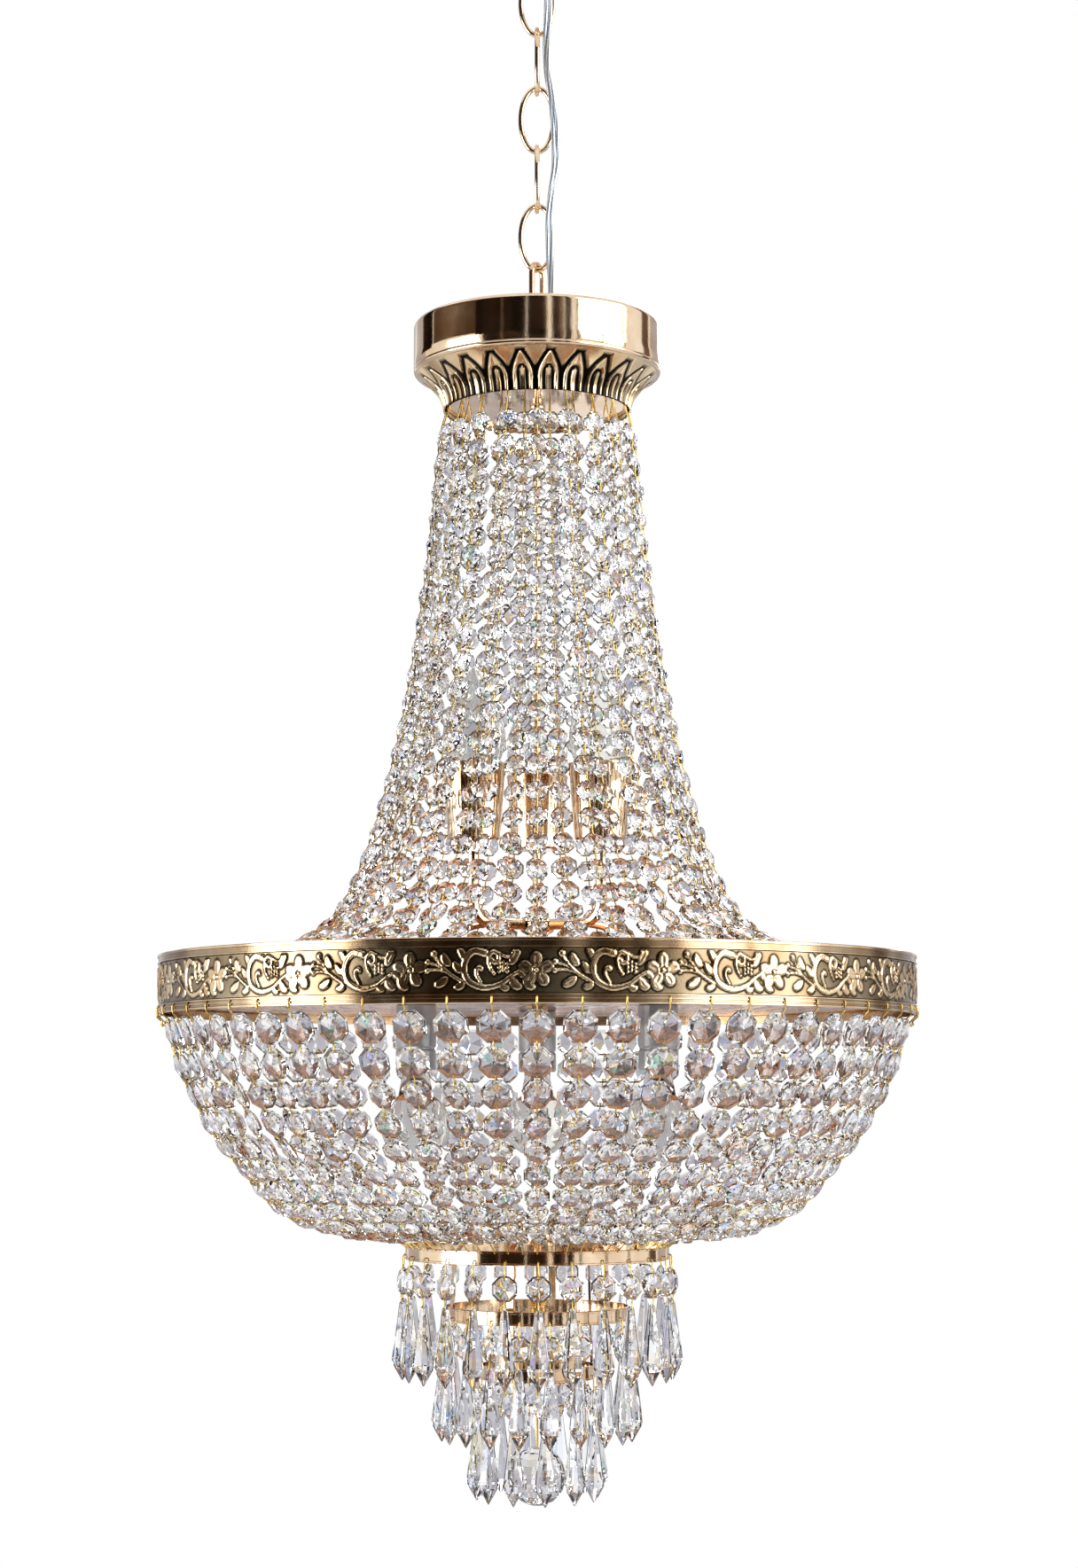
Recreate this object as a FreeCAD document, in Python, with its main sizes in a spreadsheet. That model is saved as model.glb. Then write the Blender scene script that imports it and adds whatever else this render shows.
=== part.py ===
import FreeCAD, Part
import Sketcher
import math
import os

from FreeCAD import Placement, Rotation, Vector

# Crystal chandelier. Millimetres, +Z up. The origin is the middle of the bracket's face on the ceiling,
# and everything hangs below it, so every height in the model is a drop below the ceiling.

SIZES = (
    # ceiling fitting
    ("bracket_length", 96.0),
    ("bracket_width", 22.0),
    ("bracket_thickness", 3.0),
    ("bracket_hole_spacing", 70.0),
    ("bracket_hole_diameter", 5.2),
    ("nipple_diameter", 10.0),
    ("nipple_bore", 6.0),
    ("canopy_radius", 57.5),
    ("canopy_height", 46.0),
    ("canopy_wall", 1.2),
    ("canopy_hole_radius", 14.4),
    ("boss_height", 12.0),
    ("boss_clearance", 0.5),
    ("boss_rise", 6.0),
    ("collar_height", 6.0),
    ("collar_chamfer", 1.5),
    ("collar_rim", 5.5),
    ("thread_clearance", 0.1),
    ("eye_wire", 3.6),
    ("eye_radius", 8.0),
    ("eye_sink", 1.0),
    ("terminal_length", 22.0),
    ("terminal_width", 12.0),
    ("terminal_height", 16.0),
    ("terminal_gap", 0.5),
    ("terminal_cord_inset", 4.5),
    # chain
    ("link_wire", 3.6),
    ("link_length", 48.8),
    ("link_width", 26.0),
    ("link_play", 0.2),
    # crown
    ("loop_wire", 4.0),
    ("loop_radius", 8.0),
    ("loop_height", 43.5),
    ("loop_turn", -27.0),
    ("loop_base_radius", 11.0),
    ("loop_base_height", 4.0),
    ("loop_stud_diameter", 9.0),
    ("crown_radius", 83.6),
    ("crown_height", 34.1),
    ("crown_wall", 1.2),
    ("crown_lip", 1.4),
    ("crown_lip_step", 0.6),
    ("crown_edge", 3.0),
    ("crown_edge_step", 0.9),
    ("leaf_ring_height", 24.9),
    ("leaf_ring_inset", 2.2),
    ("leaf_ring_waist", 62.5),
    ("leaf_ring_wall", 1.2),
    ("crown_plate_thickness", 2.0),
    ("crown_plate_rise", 3.0),
    ("seat_clearance", 0.1),
    ("grommet_bore", 7.2),
    ("grommet_wall", 1.1),
    ("grommet_sleeve", 1.5),
    ("grommet_flange_foot", 1.4),
    ("grommet_flange_lip", 0.8),
    ("grommet_flange", 1.6),
    # stem
    ("stem_tube_diameter", 10.5),
    ("stem_tube_bore", 8.0),
    ("stem_collar_diameter", 7.6),
    ("stem_collar_height", 4.5),
    ("stem_tube_below_plate", 2.0),
    ("stem_plug_length", 10.0),
    ("rod_diameter", 4.7),
    ("rod_engagement", 8.0),
    ("rod_tail", 46.0),
    ("lamp_wire_diameter", 3.0),
    ("lamp_wire_gap", 0.6),
    # upper lamps
    ("upper_lamp_count", 3.0),
    ("upper_lamp_circle", 48.0),
    ("lamp_hub_radius", 11.0),
    ("lamp_hub_height", 10.0),
    ("hub_cap_height", 4.0),
    ("lamp_hub_above_ring", 17.0),
    ("lamp_arm_diameter", 7.0),
    ("lamp_arm_bend", 14.0),
    ("arm_sink", 1.0),
    ("cup_above_hub", 49.0),
    ("cup_top_radius", 21.0),
    ("cup_foot_radius", 17.0),
    ("cup_height", 51.0),
    ("cup_wall", 1.0),
    ("holder_radius", 13.0),
    ("holder_height", 42.0),
    ("holder_floor", 3.0),
    ("holder_step", 1.5),
    ("cap_radius", 7.0),
    ("cap_length", 22.0),
    ("cap_clearance", 0.06),
    ("cap_lift", 0.3),
    ("bulb_collar", 1.5),
    ("bulb_collar_rise", 1.0),
    ("candle_radius", 16.0),
    ("candle_length", 74.0),
    # main ring and its frame
    ("crown_to_ring", 428.2),
    ("ring_radius", 250.0),
    ("ring_height", 38.1),
    ("ring_wall", 1.5),
    ("ring_border", 4.6),
    ("ring_border_depth", 1.2),
    ("band_gap", 0.05),
    ("band_thickness", 1.0),
    ("plate_radius", 236.0),
    ("plate_bore", 8.0),
    ("plate_thickness", 1.0),
    ("plate_above_edge", 6.0),
    ("plate_rim_height", 5.0),
    ("spoke_count", 6.0),
    ("spoke_width", 12.0),
    ("spoke_thickness", 3.0),
    ("spoke_tab_height", 14.0),
    ("stay_count", 3.0),
    ("stay_diameter", 5.0),
    ("stay_foot_radius", 112.0),
    ("stay_crest_radius", 48.0),
    ("stay_crest_rise", 3.0),
    ("stay_shoulder_drop", 26.0),
    ("stay_foot_spread", 4.0),
    ("nut_radius", 7.0),
    ("nut_height", 5.0),
    # lower lamps
    ("lower_lamp_count", 3.0),
    ("lower_lamp_circle", 90.0),
    ("globe_radius", 22.5),
    ("globe_neck", 22.0),
    # tier rings under the bowl
    ("ring_to_tier_1", 149.2),
    ("tier_1_to_tier_2", 39.2),
    ("tier_2_to_tier_3", 37.6),
    ("tier_1_radius", 86.5),
    ("tier_2_radius", 60.7),
    ("tier_3_radius", 37.8),
    ("tier_ring_height", 9.0),
    ("tier_hook_hole", 3.4),
    ("tier_ring_wall", 1.5),
    ("strap_width", 4.5),
    ("strap_thickness", 1.5),
    ("tail_hub_radius", 9.0),
    ("tail_hub_height", 12.0),
    # crystals
    ("upper_strand_count", 20.0),
    ("inner_strand_inset", 11.0),
    ("inset_fade_height", 110.0),
    ("upper_hook_length", 13.0),
    ("upper_bead_width", 14.0),
    ("bead_thickness", 8.0),
    ("upper_bead_pitch", 18.0),
    ("bowl_strand_count", 60.0),
    ("bowl_bead_width", 20.4),
    ("bowl_bead_gap", 2.0),
    ("bowl_hook_length", 5.2),
    ("bowl_end_hook", 12.0),
    ("bowl_small_bead_width", 14.0),
    ("bowl_taper_share", 0.62),
    ("bowl_bead_room", 0.8),
    ("bowl_edge_room", 0.5),
    ("tier_1_drops", 26.0),
    ("tier_2_drops", 20.0),
    ("tier_3_drops", 12.0),
    ("tier_hang_radius", 1.5),
    ("tier_hook_length", 6.2),
    ("tier_bead_width", 16.0),
    ("drop_link_length", 4.0),
    ("drop_length", 51.0),
    ("drop_width", 14.0),
    ("drop_neck", 4.6),
    ("drop_neck_drop", 2.0),
    ("drop_waist_share", 0.74),
    ("pin_diameter", 0.9),
    ("tier_hold_diameter", 0.6),
    ("pin_gap", 0.15),
    ("ball_radius", 19.0),
    ("ball_hang", 94.7),
    ("ball_wire", 1.6),
    ("ball_loop_radius", 3.0),
    ("ball_eye_radius", 3.2),
    ("ball_eye_wire", 1.8),
    ("ball_eye_drop", 5.6),
    ("eye_nut_radius", 5.0),
    ("eye_nut_height", 8.0),
    ("eye_nut_drop", 2.0),
    # cord
    ("cord_diameter", 5.8),
    ("cord_hole_play", 0.8),
)

# The cord's route from the ceiling terminal down to the crown terminal: x, y and height, in millimetres.
# It hangs in front of the chain, a little to the right, and bows as the photograph shows.
CORD_POINTS = (
    (7.4, -6.2, -19.0),
    (6.7, -6.6, -52.0),
    (7.9, -6.2, -92.0),
    (5.5, -6.4, -131.0),
    (11.3, -6.2, -160.0),
    (13.4, -6.6, -200.0),
    (8.4, -6.3, -229.0),
    (8.3, -7.3, -256.0),
    (9.6, -11.4, -284.0),
    (10.3, -14.9, -312.0),
    (10.5, -15.0, -329.0),
)

# The outer crystal strand, from its hook on the leaf ring to its hook on the main ring:
# radius and height above the main ring's lower edge, in millimetres.
STRAND_POINTS = (
    (61.5, 403.5),
    (66.5, 357.5),
    (72.0, 300.5),
    (80.5, 240.0),
    (91.7, 179.0),
    (105.5, 126.5),
    (121.0, 85.0),
    (140.5, 57.5),
    (170.0, 42.0),
    (246.5, 34.0),
)

# The bowl strand, from just under its hook on the main ring to just outside the first tier ring:
# radius and drop below the main ring's lower edge, in millimetres.
BOWL_POINTS = (
    (240.5, 9.5),
    (234.5, 30.0),
    (223.2, 52.7),
    (211.3, 75.2),
    (193.3, 97.2),
    (174.3, 119.8),
    (157.8, 131.0),
    (124.0, 137.8),
    (99.0, 140.5),
)

EXPORTED = []


def add_sheet(document):
    """Put every driving dimension in the spreadsheet, under its own name."""
    sheet = document.addObject("Spreadsheet::Sheet", "Sizes")
    for row, (alias, value) in enumerate(SIZES, start=1):
        sheet.set("A%d" % row, alias)
        sheet.set("B%d" % row, str(value))
        sheet.setAlias("B%d" % row, alias)
    document.recompute()
    return sheet


DOCUMENT = FreeCAD.newDocument("chandelier")
SHEET = add_sheet(DOCUMENT)


def size(alias):
    """A driving dimension, read back from the spreadsheet."""
    return float(SHEET.get(alias))


def count(alias):
    """A driving count, read back from the spreadsheet."""
    return int(round(size(alias)))


# Heights that several sub-parts share, all worked out from the driving dimensions.
LINK_COUNT = 5
BOSS_RADIUS = size("canopy_hole_radius") - size("boss_clearance")
BOSS_TOP = -size("canopy_height") + size("boss_rise")
BOSS_FOOT = BOSS_TOP - size("boss_height")
EYE_CENTRE = BOSS_FOOT + size("eye_sink") - size("eye_radius")
EYE_BOTTOM = EYE_CENTRE - size("eye_radius")
WIRE_STEP = size("link_wire") + size("link_play")
LINK_SPAN = size("link_length") - size("link_wire")
LINK_PITCH = LINK_SPAN - WIRE_STEP
LINK_TOP = EYE_BOTTOM + (size("eye_wire") + size("link_wire")) / 2 + size("link_play")
CHAIN_END = LINK_TOP - (LINK_COUNT - 1) * LINK_PITCH - LINK_SPAN
LOOP_APEX = CHAIN_END + (size("link_wire") + size("loop_wire")) / 2 + size("link_play")
CROWN_TOP = LOOP_APEX - size("loop_height")
CROWN_FOOT = CROWN_TOP - size("crown_height")
LEAF_FOOT = CROWN_FOOT - size("leaf_ring_height")
RING_TOP = CROWN_TOP - size("crown_to_ring")
RING_FOOT = RING_TOP - size("ring_height")
RING_INSIDE = size("ring_radius") - size("ring_border_depth") - size("ring_wall")
PLATE_TOP = RING_FOOT + size("plate_above_edge") + size("plate_thickness")
HUB_FOOT = RING_TOP + size("lamp_hub_above_ring")
HUB_TOP = HUB_FOOT + size("lamp_hub_height")
CUP_FOOT = HUB_TOP + size("cup_above_hub")
TIER_TOPS = (
    RING_FOOT - size("ring_to_tier_1"),
    RING_FOOT - size("ring_to_tier_1") - size("tier_1_to_tier_2"),
    RING_FOOT - size("ring_to_tier_1") - size("tier_1_to_tier_2") - size("tier_2_to_tier_3"),
)
TAIL_HUB_TOP = TIER_TOPS[0] + size("tail_hub_height")
ROD_FOOT = TIER_TOPS[0] - size("rod_tail")
STEM_TUBE_TOP = CROWN_TOP - size("crown_wall")
STEM_TUBE_FOOT = LEAF_FOOT + size("crown_plate_rise") - size("stem_tube_below_plate")
LAMP_WIRE_Y = (size("stem_tube_diameter") + size("lamp_wire_diameter")) / 2 + size("lamp_wire_gap")
EYE_NUT_FOOT = ROD_FOOT - size("eye_nut_drop")
BALL_PIVOT = EYE_NUT_FOOT - size("ball_eye_drop")

# How far the loop's stud goes down the stem tube.
STUD_REACH = 8.0
# Longer than any piece it goes through, for the cutters that make the bores.
CUTTER = 60.0
# One lamp of each level stands at the back, in line with the rod, and two at the sides.
FIRST_LAMP_ANGLE = 90.0
FIRST_SPOKE_ANGLE = 30.0
FIRST_DROP_ANGLE = 7.5
STRAPS_PER_TIER = 3
STRAP_TURN = 40.0
STRAP_BEND_SHARE = 0.35
STAY_BENDS = (30.0, 20.0)
# The lamp wires leave the crown terminal's back: their reach to the right, and how they drop and bend.
WIRE_REACH = 10.5
WIRE_BEND_REACH = 9.5
WIRE_BEND_DROP = 6.0
WIRE_BEND_RISE = 8.0
WIRE_SINK = 1.0


def export(feature):
    """Mark a finished sub-part for its own file."""
    EXPORTED.append(feature)
    return feature


def origin_plane(body, role):
    """One of a body's own origin planes."""
    for feature in body.Origin.OriginFeatures:
        if feature.Role == role:
            return feature
    raise ValueError("no plane " + role)


def bind_corner(sketch, index, radius, height):
    """Tie the start of one sketch line to the sheet: its radius and its height above the body's foot."""
    bound = sketch.addConstraint(Sketcher.Constraint("DistanceX", -1, 1, index, 1, 1.0))
    sketch.setExpression("Constraints[%d]" % bound, radius)
    if height == "0":
        sketch.addConstraint(Sketcher.Constraint("PointOnObject", index, 1, -1))
        return
    bound = sketch.addConstraint(Sketcher.Constraint("DistanceY", -1, 1, index, 1, 1.0))
    sketch.setExpression("Constraints[%d]" % bound, height)


def turned_body(label, corners, foot):
    """A spun piece: a closed outline of (radius, height) expressions turned about the body's own Z axis."""
    body = DOCUMENT.addObject("PartDesign::Body", label)
    sketch = body.newObject("Sketcher::SketchObject", label + "_outline")
    sketch.AttachmentSupport = (origin_plane(body, "XZ_Plane"), [""])
    sketch.MapMode = "FlatFace"
    values = [(evaluate(radius), evaluate(height)) for radius, height in corners]
    points = [Vector(radius, height, 0) for radius, height in values]
    for start, end in zip(points, points[1:] + points[:1]):
        sketch.addGeometry(Part.LineSegment(start, end), False)
    for index in range(len(points)):
        sketch.addConstraint(Sketcher.Constraint("Coincident", index, 2, (index + 1) % len(points), 1))
    for index, (radius, height) in enumerate(corners):
        bind_corner(sketch, index, radius, height)
    turned = body.newObject("PartDesign::Revolution", label + "_turned")
    turned.Profile = sketch
    turned.ReferenceAxis = (sketch, ["V_Axis"])
    turned.Angle = 360.0
    body.Tip = turned
    body.Placement.Base.z = foot
    body.Label = label
    DOCUMENT.recompute()
    return body


def evaluate(expression):
    """The value of an expression in sheet names, for a sketch's first drawing."""
    return float(SHEET.evalExpression(expression))


def cylinder(label, radius, height, foot, x=0.0, y=0.0):
    """A Part cylinder with its radius and height bound to sheet expressions."""
    feature = DOCUMENT.addObject("Part::Cylinder", label)
    feature.setExpression("Radius", radius)
    feature.setExpression("Height", height)
    feature.Placement = Placement(Vector(x, y, foot), Rotation())
    feature.Label = label
    return feature


def box(label, length, width, height, corner):
    """A Part box with its sides bound to sheet expressions."""
    feature = DOCUMENT.addObject("Part::Box", label)
    feature.setExpression("Length", length)
    feature.setExpression("Width", width)
    feature.setExpression("Height", height)
    feature.Placement = Placement(corner, Rotation())
    feature.Label = label
    return feature


def cut(label, base, *tools):
    """The base with each tool cut away in turn."""
    result = base
    for number, tool in enumerate(tools, start=1):
        feature = DOCUMENT.addObject("Part::Cut", "%s_cut_%d" % (label, number))
        feature.Base = result
        feature.Tool = tool
        result = feature
    result.Label = label
    return result


def shaped(label, shape):
    """A sub-part whose shape is worked out from the sheet by a function of this file."""
    feature = DOCUMENT.addObject("Part::Feature", label)
    feature.Shape = shape
    feature.Label = label
    return feature


def turned_copies(shape, copies, first_angle=0.0):
    """Copies of a shape spread evenly about the Z axis."""
    result = []
    for number in range(copies):
        copy = shape.copy()
        copy.rotate(Vector(), Vector(0, 0, 1), first_angle + 360.0 * number / copies)
        result.append(copy)
    return result


def solids_of(shapes):
    """One compound of every solid in a list of shapes."""
    return Part.makeCompound([solid for shape in shapes for solid in shape.Solids])


def tube_along(edges, radius):
    """A round bar along a wire of lines and arcs."""
    wire = Part.Wire(edges)
    start = edges[0].valueAt(edges[0].FirstParameter)
    direction = edges[0].tangentAt(edges[0].FirstParameter)
    section = Part.Wire([Part.makeCircle(radius, start, direction)])
    return wire.makePipeShell([section], True, True)


def bent_edges(points, radii):
    """Straight runs through points, joined by arcs of the given radii that are tangent to both runs."""
    edges = []
    start = points[0]
    for before, corner, after, radius in zip(points, points[1:], points[2:], radii):
        inward = (before - corner).normalize()
        outward = (after - corner).normalize()
        half_turn = (math.pi - inward.getAngle(outward)) / 2
        reach = radius * math.tan(half_turn)
        first = corner + inward * reach
        last = corner + outward * reach
        bisector = (inward + outward).normalize()
        middle = corner + bisector * (radius / math.cos(half_turn) - radius)
        if first.distanceToPoint(start) > 1e-6:
            edges.append(Part.makeLine(start, first))
        edges.append(Part.Arc(first, middle, last).toShape())
        start = last
    edges.append(Part.makeLine(start, points[-1]))
    return edges


# ---------------------------------------------------------------- ceiling fitting


def ceiling_bracket():
    """The flat steel strip that two screws hold to the ceiling."""
    strip = box(
        "bracket_strip",
        "Sizes.bracket_length",
        "Sizes.bracket_width",
        "Sizes.bracket_thickness",
        Vector(-size("bracket_length") / 2, -size("bracket_width") / 2, -size("bracket_thickness")),
    )
    holes = [
        cylinder(
            "bracket_hole_%d" % side,
            "Sizes.bracket_hole_diameter / 2",
            "Sizes.bracket_thickness",
            -size("bracket_thickness"),
            x=side * size("bracket_hole_spacing") / 2,
        )
        for side in (-1, 1)
    ]
    tapped = cylinder(
        "bracket_tapped_hole",
        "Sizes.nipple_diameter / 2",
        "Sizes.bracket_thickness",
        -size("bracket_thickness"),
    )
    export(cut("ceiling_bracket", strip, tapped, *holes))


def bracket_nipple():
    """The threaded tube that joins the bracket to the hanging boss."""
    foot = BOSS_TOP
    blank = DOCUMENT.addObject("Part::Cylinder", "nipple_blank")
    blank.setExpression("Radius", "Sizes.nipple_diameter / 2")
    blank.Height = -foot
    blank.Placement.Base.z = foot
    bore = DOCUMENT.addObject("Part::Cylinder", "nipple_hollow")
    bore.setExpression("Radius", "Sizes.nipple_bore / 2")
    bore.Height = -foot
    bore.Placement.Base.z = foot
    export(cut("bracket_nipple", blank, bore))


def canopy():
    """The spun ceiling rose that hides the bracket."""
    wall = "Sizes.canopy_wall"
    export(
        turned_body(
            "canopy",
            (
                ("Sizes.canopy_hole_radius", "0"),
                ("Sizes.canopy_radius * 0.55", "0"),
                ("Sizes.canopy_radius * 0.78", "Sizes.canopy_height * 0.2"),
                ("Sizes.canopy_radius * 0.93", "Sizes.canopy_height * 0.52"),
                ("Sizes.canopy_radius - Sizes.canopy_wall", "Sizes.canopy_height * 0.86"),
                ("Sizes.canopy_radius", "Sizes.canopy_height * 0.86"),
                ("Sizes.canopy_radius", "Sizes.canopy_height"),
                ("Sizes.canopy_radius - Sizes.canopy_wall", "Sizes.canopy_height"),
                ("Sizes.canopy_radius - 2 * Sizes.canopy_wall", "Sizes.canopy_height * 0.86"),
                ("Sizes.canopy_radius * 0.93 - Sizes.canopy_wall", "Sizes.canopy_height * 0.52 + " + wall),
                ("Sizes.canopy_radius * 0.78 - Sizes.canopy_wall", "Sizes.canopy_height * 0.2 + " + wall),
                ("Sizes.canopy_radius * 0.55", wall),
                ("Sizes.canopy_hole_radius", wall),
            ),
            -size("canopy_height"),
        )
    )


def canopy_boss():
    """The threaded boss below the canopy, with the closed eye that the chain hangs in."""
    boss = Part.makeCylinder(BOSS_RADIUS, size("boss_height"), Vector(0, 0, BOSS_FOOT))
    eye = Part.makeTorus(size("eye_radius"), size("eye_wire") / 2, Vector(0, 0, EYE_CENTRE), Vector(1, 0, 0))
    cord_x, cord_y, _ = CORD_POINTS[1]
    passage = Part.makeCylinder(
        size("cord_diameter") / 2 + size("cord_hole_play"),
        size("boss_height"),
        Vector(cord_x, cord_y, BOSS_FOOT),
    )
    export(shaped("canopy_boss", boss.fuse(eye).cut(passage).removeSplitter()))


def canopy_collar():
    """The ring nut that screws up the boss and holds the canopy to the ceiling."""
    export(
        turned_body(
            "canopy_collar",
            (
                ("Sizes.canopy_hole_radius - Sizes.boss_clearance + Sizes.thread_clearance", "0"),
                ("Sizes.canopy_hole_radius + Sizes.collar_rim - Sizes.collar_chamfer", "0"),
                ("Sizes.canopy_hole_radius + Sizes.collar_rim", "Sizes.collar_chamfer"),
                ("Sizes.canopy_hole_radius + Sizes.collar_rim", "Sizes.collar_height"),
                ("Sizes.canopy_hole_radius - Sizes.boss_clearance + Sizes.thread_clearance",
                 "Sizes.collar_height"),
            ),
            -size("canopy_height") - size("collar_height"),
        )
    )


def ceiling_terminal():
    """The terminal block beside the nipple, where the cord meets the house wiring."""
    export(
        box(
            "ceiling_terminal",
            "Sizes.terminal_length",
            "Sizes.terminal_width",
            "Sizes.terminal_height",
            Vector(
                size("nipple_diameter") / 2 + size("terminal_gap"),
                -size("bracket_width") / 2,
                -size("bracket_thickness") - size("terminal_height"),
            ),
        )
    )


# ---------------------------------------------------------------- chain


def link_edge(length, width, top, across_x):
    """The oval centreline of a chain link, whose top wire is centred at a height."""
    middle = Vector(0, 0, top - length / 2)
    side = Vector(1, 0, 0) if across_x else Vector(0, 1, 0)
    oval = Part.Ellipse(middle + Vector(0, 0, length / 2), middle + side * (width / 2), middle)
    return oval.toShape()


def chain_links():
    """Five links, each turned a quarter against the one above it."""
    width = size("link_width") - size("link_wire")
    for number in range(LINK_COUNT):
        top = LINK_TOP - number * LINK_PITCH
        edge = link_edge(LINK_SPAN, width, top, across_x=number % 2 == 0)
        export(shaped("chain_link_%d" % (number + 1), tube_along([edge], size("link_wire") / 2)))


# ---------------------------------------------------------------- crown


def crown_loop():
    """The tall loop on the crown, whose bow hangs on the last link and whose stud holds the stem."""
    legs_foot = CROWN_TOP + size("loop_base_height") / 2
    radius = size("loop_radius")
    shoulder = LOOP_APEX - radius
    near = Vector(0, -radius, shoulder)
    far = Vector(0, radius, shoulder)
    edges = [
        Part.makeLine(Vector(0, radius, legs_foot), far),
        Part.Arc(far, Vector(0, 0, LOOP_APEX), near).toShape(),
        Part.makeLine(near, Vector(0, -radius, legs_foot)),
    ]
    bow = tube_along(edges, size("loop_wire") / 2)
    base = Part.makeCylinder(size("loop_base_radius"), size("loop_base_height"), Vector(0, 0, CROWN_TOP))
    stud_length = size("crown_wall") + STUD_REACH
    stud_foot = Vector(0, 0, CROWN_TOP - stud_length)
    stud = Part.makeCylinder(size("loop_stud_diameter") / 2, stud_length, stud_foot)
    loop = base.fuse([bow, stud]).removeSplitter()
    loop.rotate(Vector(), Vector(0, 0, 1), size("loop_turn"))
    export(shaped("crown_loop", loop))


def crown_drum():
    """The polished drum at the top: a spun cap with a rounded edge and a lip at its foot."""
    stud_hole = "Sizes.loop_stud_diameter / 2 + Sizes.seat_clearance"
    inside = "Sizes.crown_radius - Sizes.crown_wall"
    drum = turned_body(
        "crown_drum_shell",
        (
            (stud_hole, "Sizes.crown_height"),
            ("Sizes.crown_radius - Sizes.crown_edge", "Sizes.crown_height"),
            ("Sizes.crown_radius - Sizes.crown_edge_step", "Sizes.crown_height - Sizes.crown_edge_step"),
            ("Sizes.crown_radius", "Sizes.crown_height - Sizes.crown_edge"),
            ("Sizes.crown_radius", "Sizes.crown_lip"),
            ("Sizes.crown_radius - Sizes.crown_lip_step", "0"),
            (inside + " - Sizes.crown_lip_step", "0"),
            (inside, "Sizes.crown_lip"),
            (inside, "Sizes.crown_height - Sizes.crown_edge"),
            ("Sizes.crown_radius - Sizes.crown_edge", "Sizes.crown_height - Sizes.crown_wall"),
            (stud_hole, "Sizes.crown_height - Sizes.crown_wall"),
        ),
        CROWN_FOOT,
    )
    cord_x, cord_y, _ = CORD_POINTS[-2]
    hole = cylinder(
        "crown_cord_hole",
        "Sizes.grommet_bore / 2 + Sizes.grommet_wall + Sizes.seat_clearance",
        "Sizes.crown_wall * 4",
        CROWN_TOP - 2 * size("crown_wall"),
        x=cord_x,
        y=cord_y,
    )
    export(cut("crown_drum", drum, hole))


def cord_grommet():
    """The bush that the cord goes through in the crown's top."""
    cord_x, cord_y, _ = CORD_POINTS[-2]
    bore = size("grommet_bore") / 2
    outer = bore + size("grommet_wall")
    foot = CROWN_TOP - size("crown_wall") - size("grommet_sleeve")
    flange_foot = outer + size("grommet_flange_foot")
    flange_lip = bore + size("grommet_flange_lip")
    sleeve = Part.makeCylinder(outer, CROWN_TOP - foot, Vector(cord_x, cord_y, foot))
    flange = Part.makeCone(flange_foot, flange_lip, size("grommet_flange"), Vector(cord_x, cord_y, CROWN_TOP))
    passage = Part.makeCylinder(bore, CUTTER, Vector(cord_x, cord_y, foot - CUTTER / 2))
    export(shaped("cord_grommet", sleeve.fuse(flange).cut(passage).removeSplitter()))


def crown_terminal_shape():
    """The plain block under the cord's end."""
    cord_x, cord_y, cord_z = CORD_POINTS[-1]
    height = size("terminal_height")
    corner = Vector(cord_x - size("terminal_cord_inset"), cord_y - size("terminal_width") / 2, cord_z - height)
    return Part.makeBox(size("terminal_length"), size("terminal_width"), height, corner)


def crown_terminal():
    """The terminal block inside the crown, where the cord meets the lamp wires."""
    export(shaped("crown_terminal", crown_terminal_shape()))


def leaf_ring():
    """The flared ring of leaves under the drum: a hollow-curved flare down to the waist."""
    rise = "Sizes.leaf_ring_height"
    export(
        turned_body(
            "leaf_ring",
            (
                ("Sizes.leaf_ring_waist - Sizes.leaf_ring_wall", "0"),
                ("Sizes.leaf_ring_waist + 0.6", "0"),
                ("Sizes.leaf_ring_waist + 0.9", rise + " * 0.12"),
                ("Sizes.leaf_ring_waist + 3.4", rise + " * 0.4"),
                ("Sizes.leaf_ring_waist + 9.2", rise + " * 0.7"),
                ("Sizes.crown_radius - Sizes.leaf_ring_inset", rise + " * 0.95"),
                ("Sizes.crown_radius - Sizes.leaf_ring_inset", rise),
                ("Sizes.crown_radius - Sizes.leaf_ring_inset - Sizes.leaf_ring_wall * 1.5", rise),
                ("Sizes.leaf_ring_waist + 9.2 - Sizes.leaf_ring_wall * 1.6", rise + " * 0.7"),
                ("Sizes.leaf_ring_waist + 3.4 - Sizes.leaf_ring_wall * 1.3", rise + " * 0.4"),
                ("Sizes.leaf_ring_waist - Sizes.leaf_ring_wall", rise + " * 0.12"),
            ),
            LEAF_FOOT,
        )
    )


def crown_plate():
    """The plate across the leaf ring's waist, with a hole for the stem tube and one for the lamp wire."""
    radius = size("leaf_ring_waist") - size("leaf_ring_wall") - size("seat_clearance")
    foot = LEAF_FOOT + size("crown_plate_rise")
    below = foot - CUTTER / 2
    stem_hole = size("stem_tube_diameter") / 2 + size("seat_clearance")
    wire_hole = (size("lamp_wire_diameter") + size("lamp_wire_gap")) / 2
    plate = Part.makeCylinder(radius, size("crown_plate_thickness"), Vector(0, 0, foot))
    stem = Part.makeCylinder(stem_hole, CUTTER, Vector(0, 0, below))
    wire = Part.makeCylinder(wire_hole, CUTTER, Vector(0, LAMP_WIRE_Y, below))
    export(shaped("crown_plate", plate.cut(stem).cut(wire)))


# ---------------------------------------------------------------- stem


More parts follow.
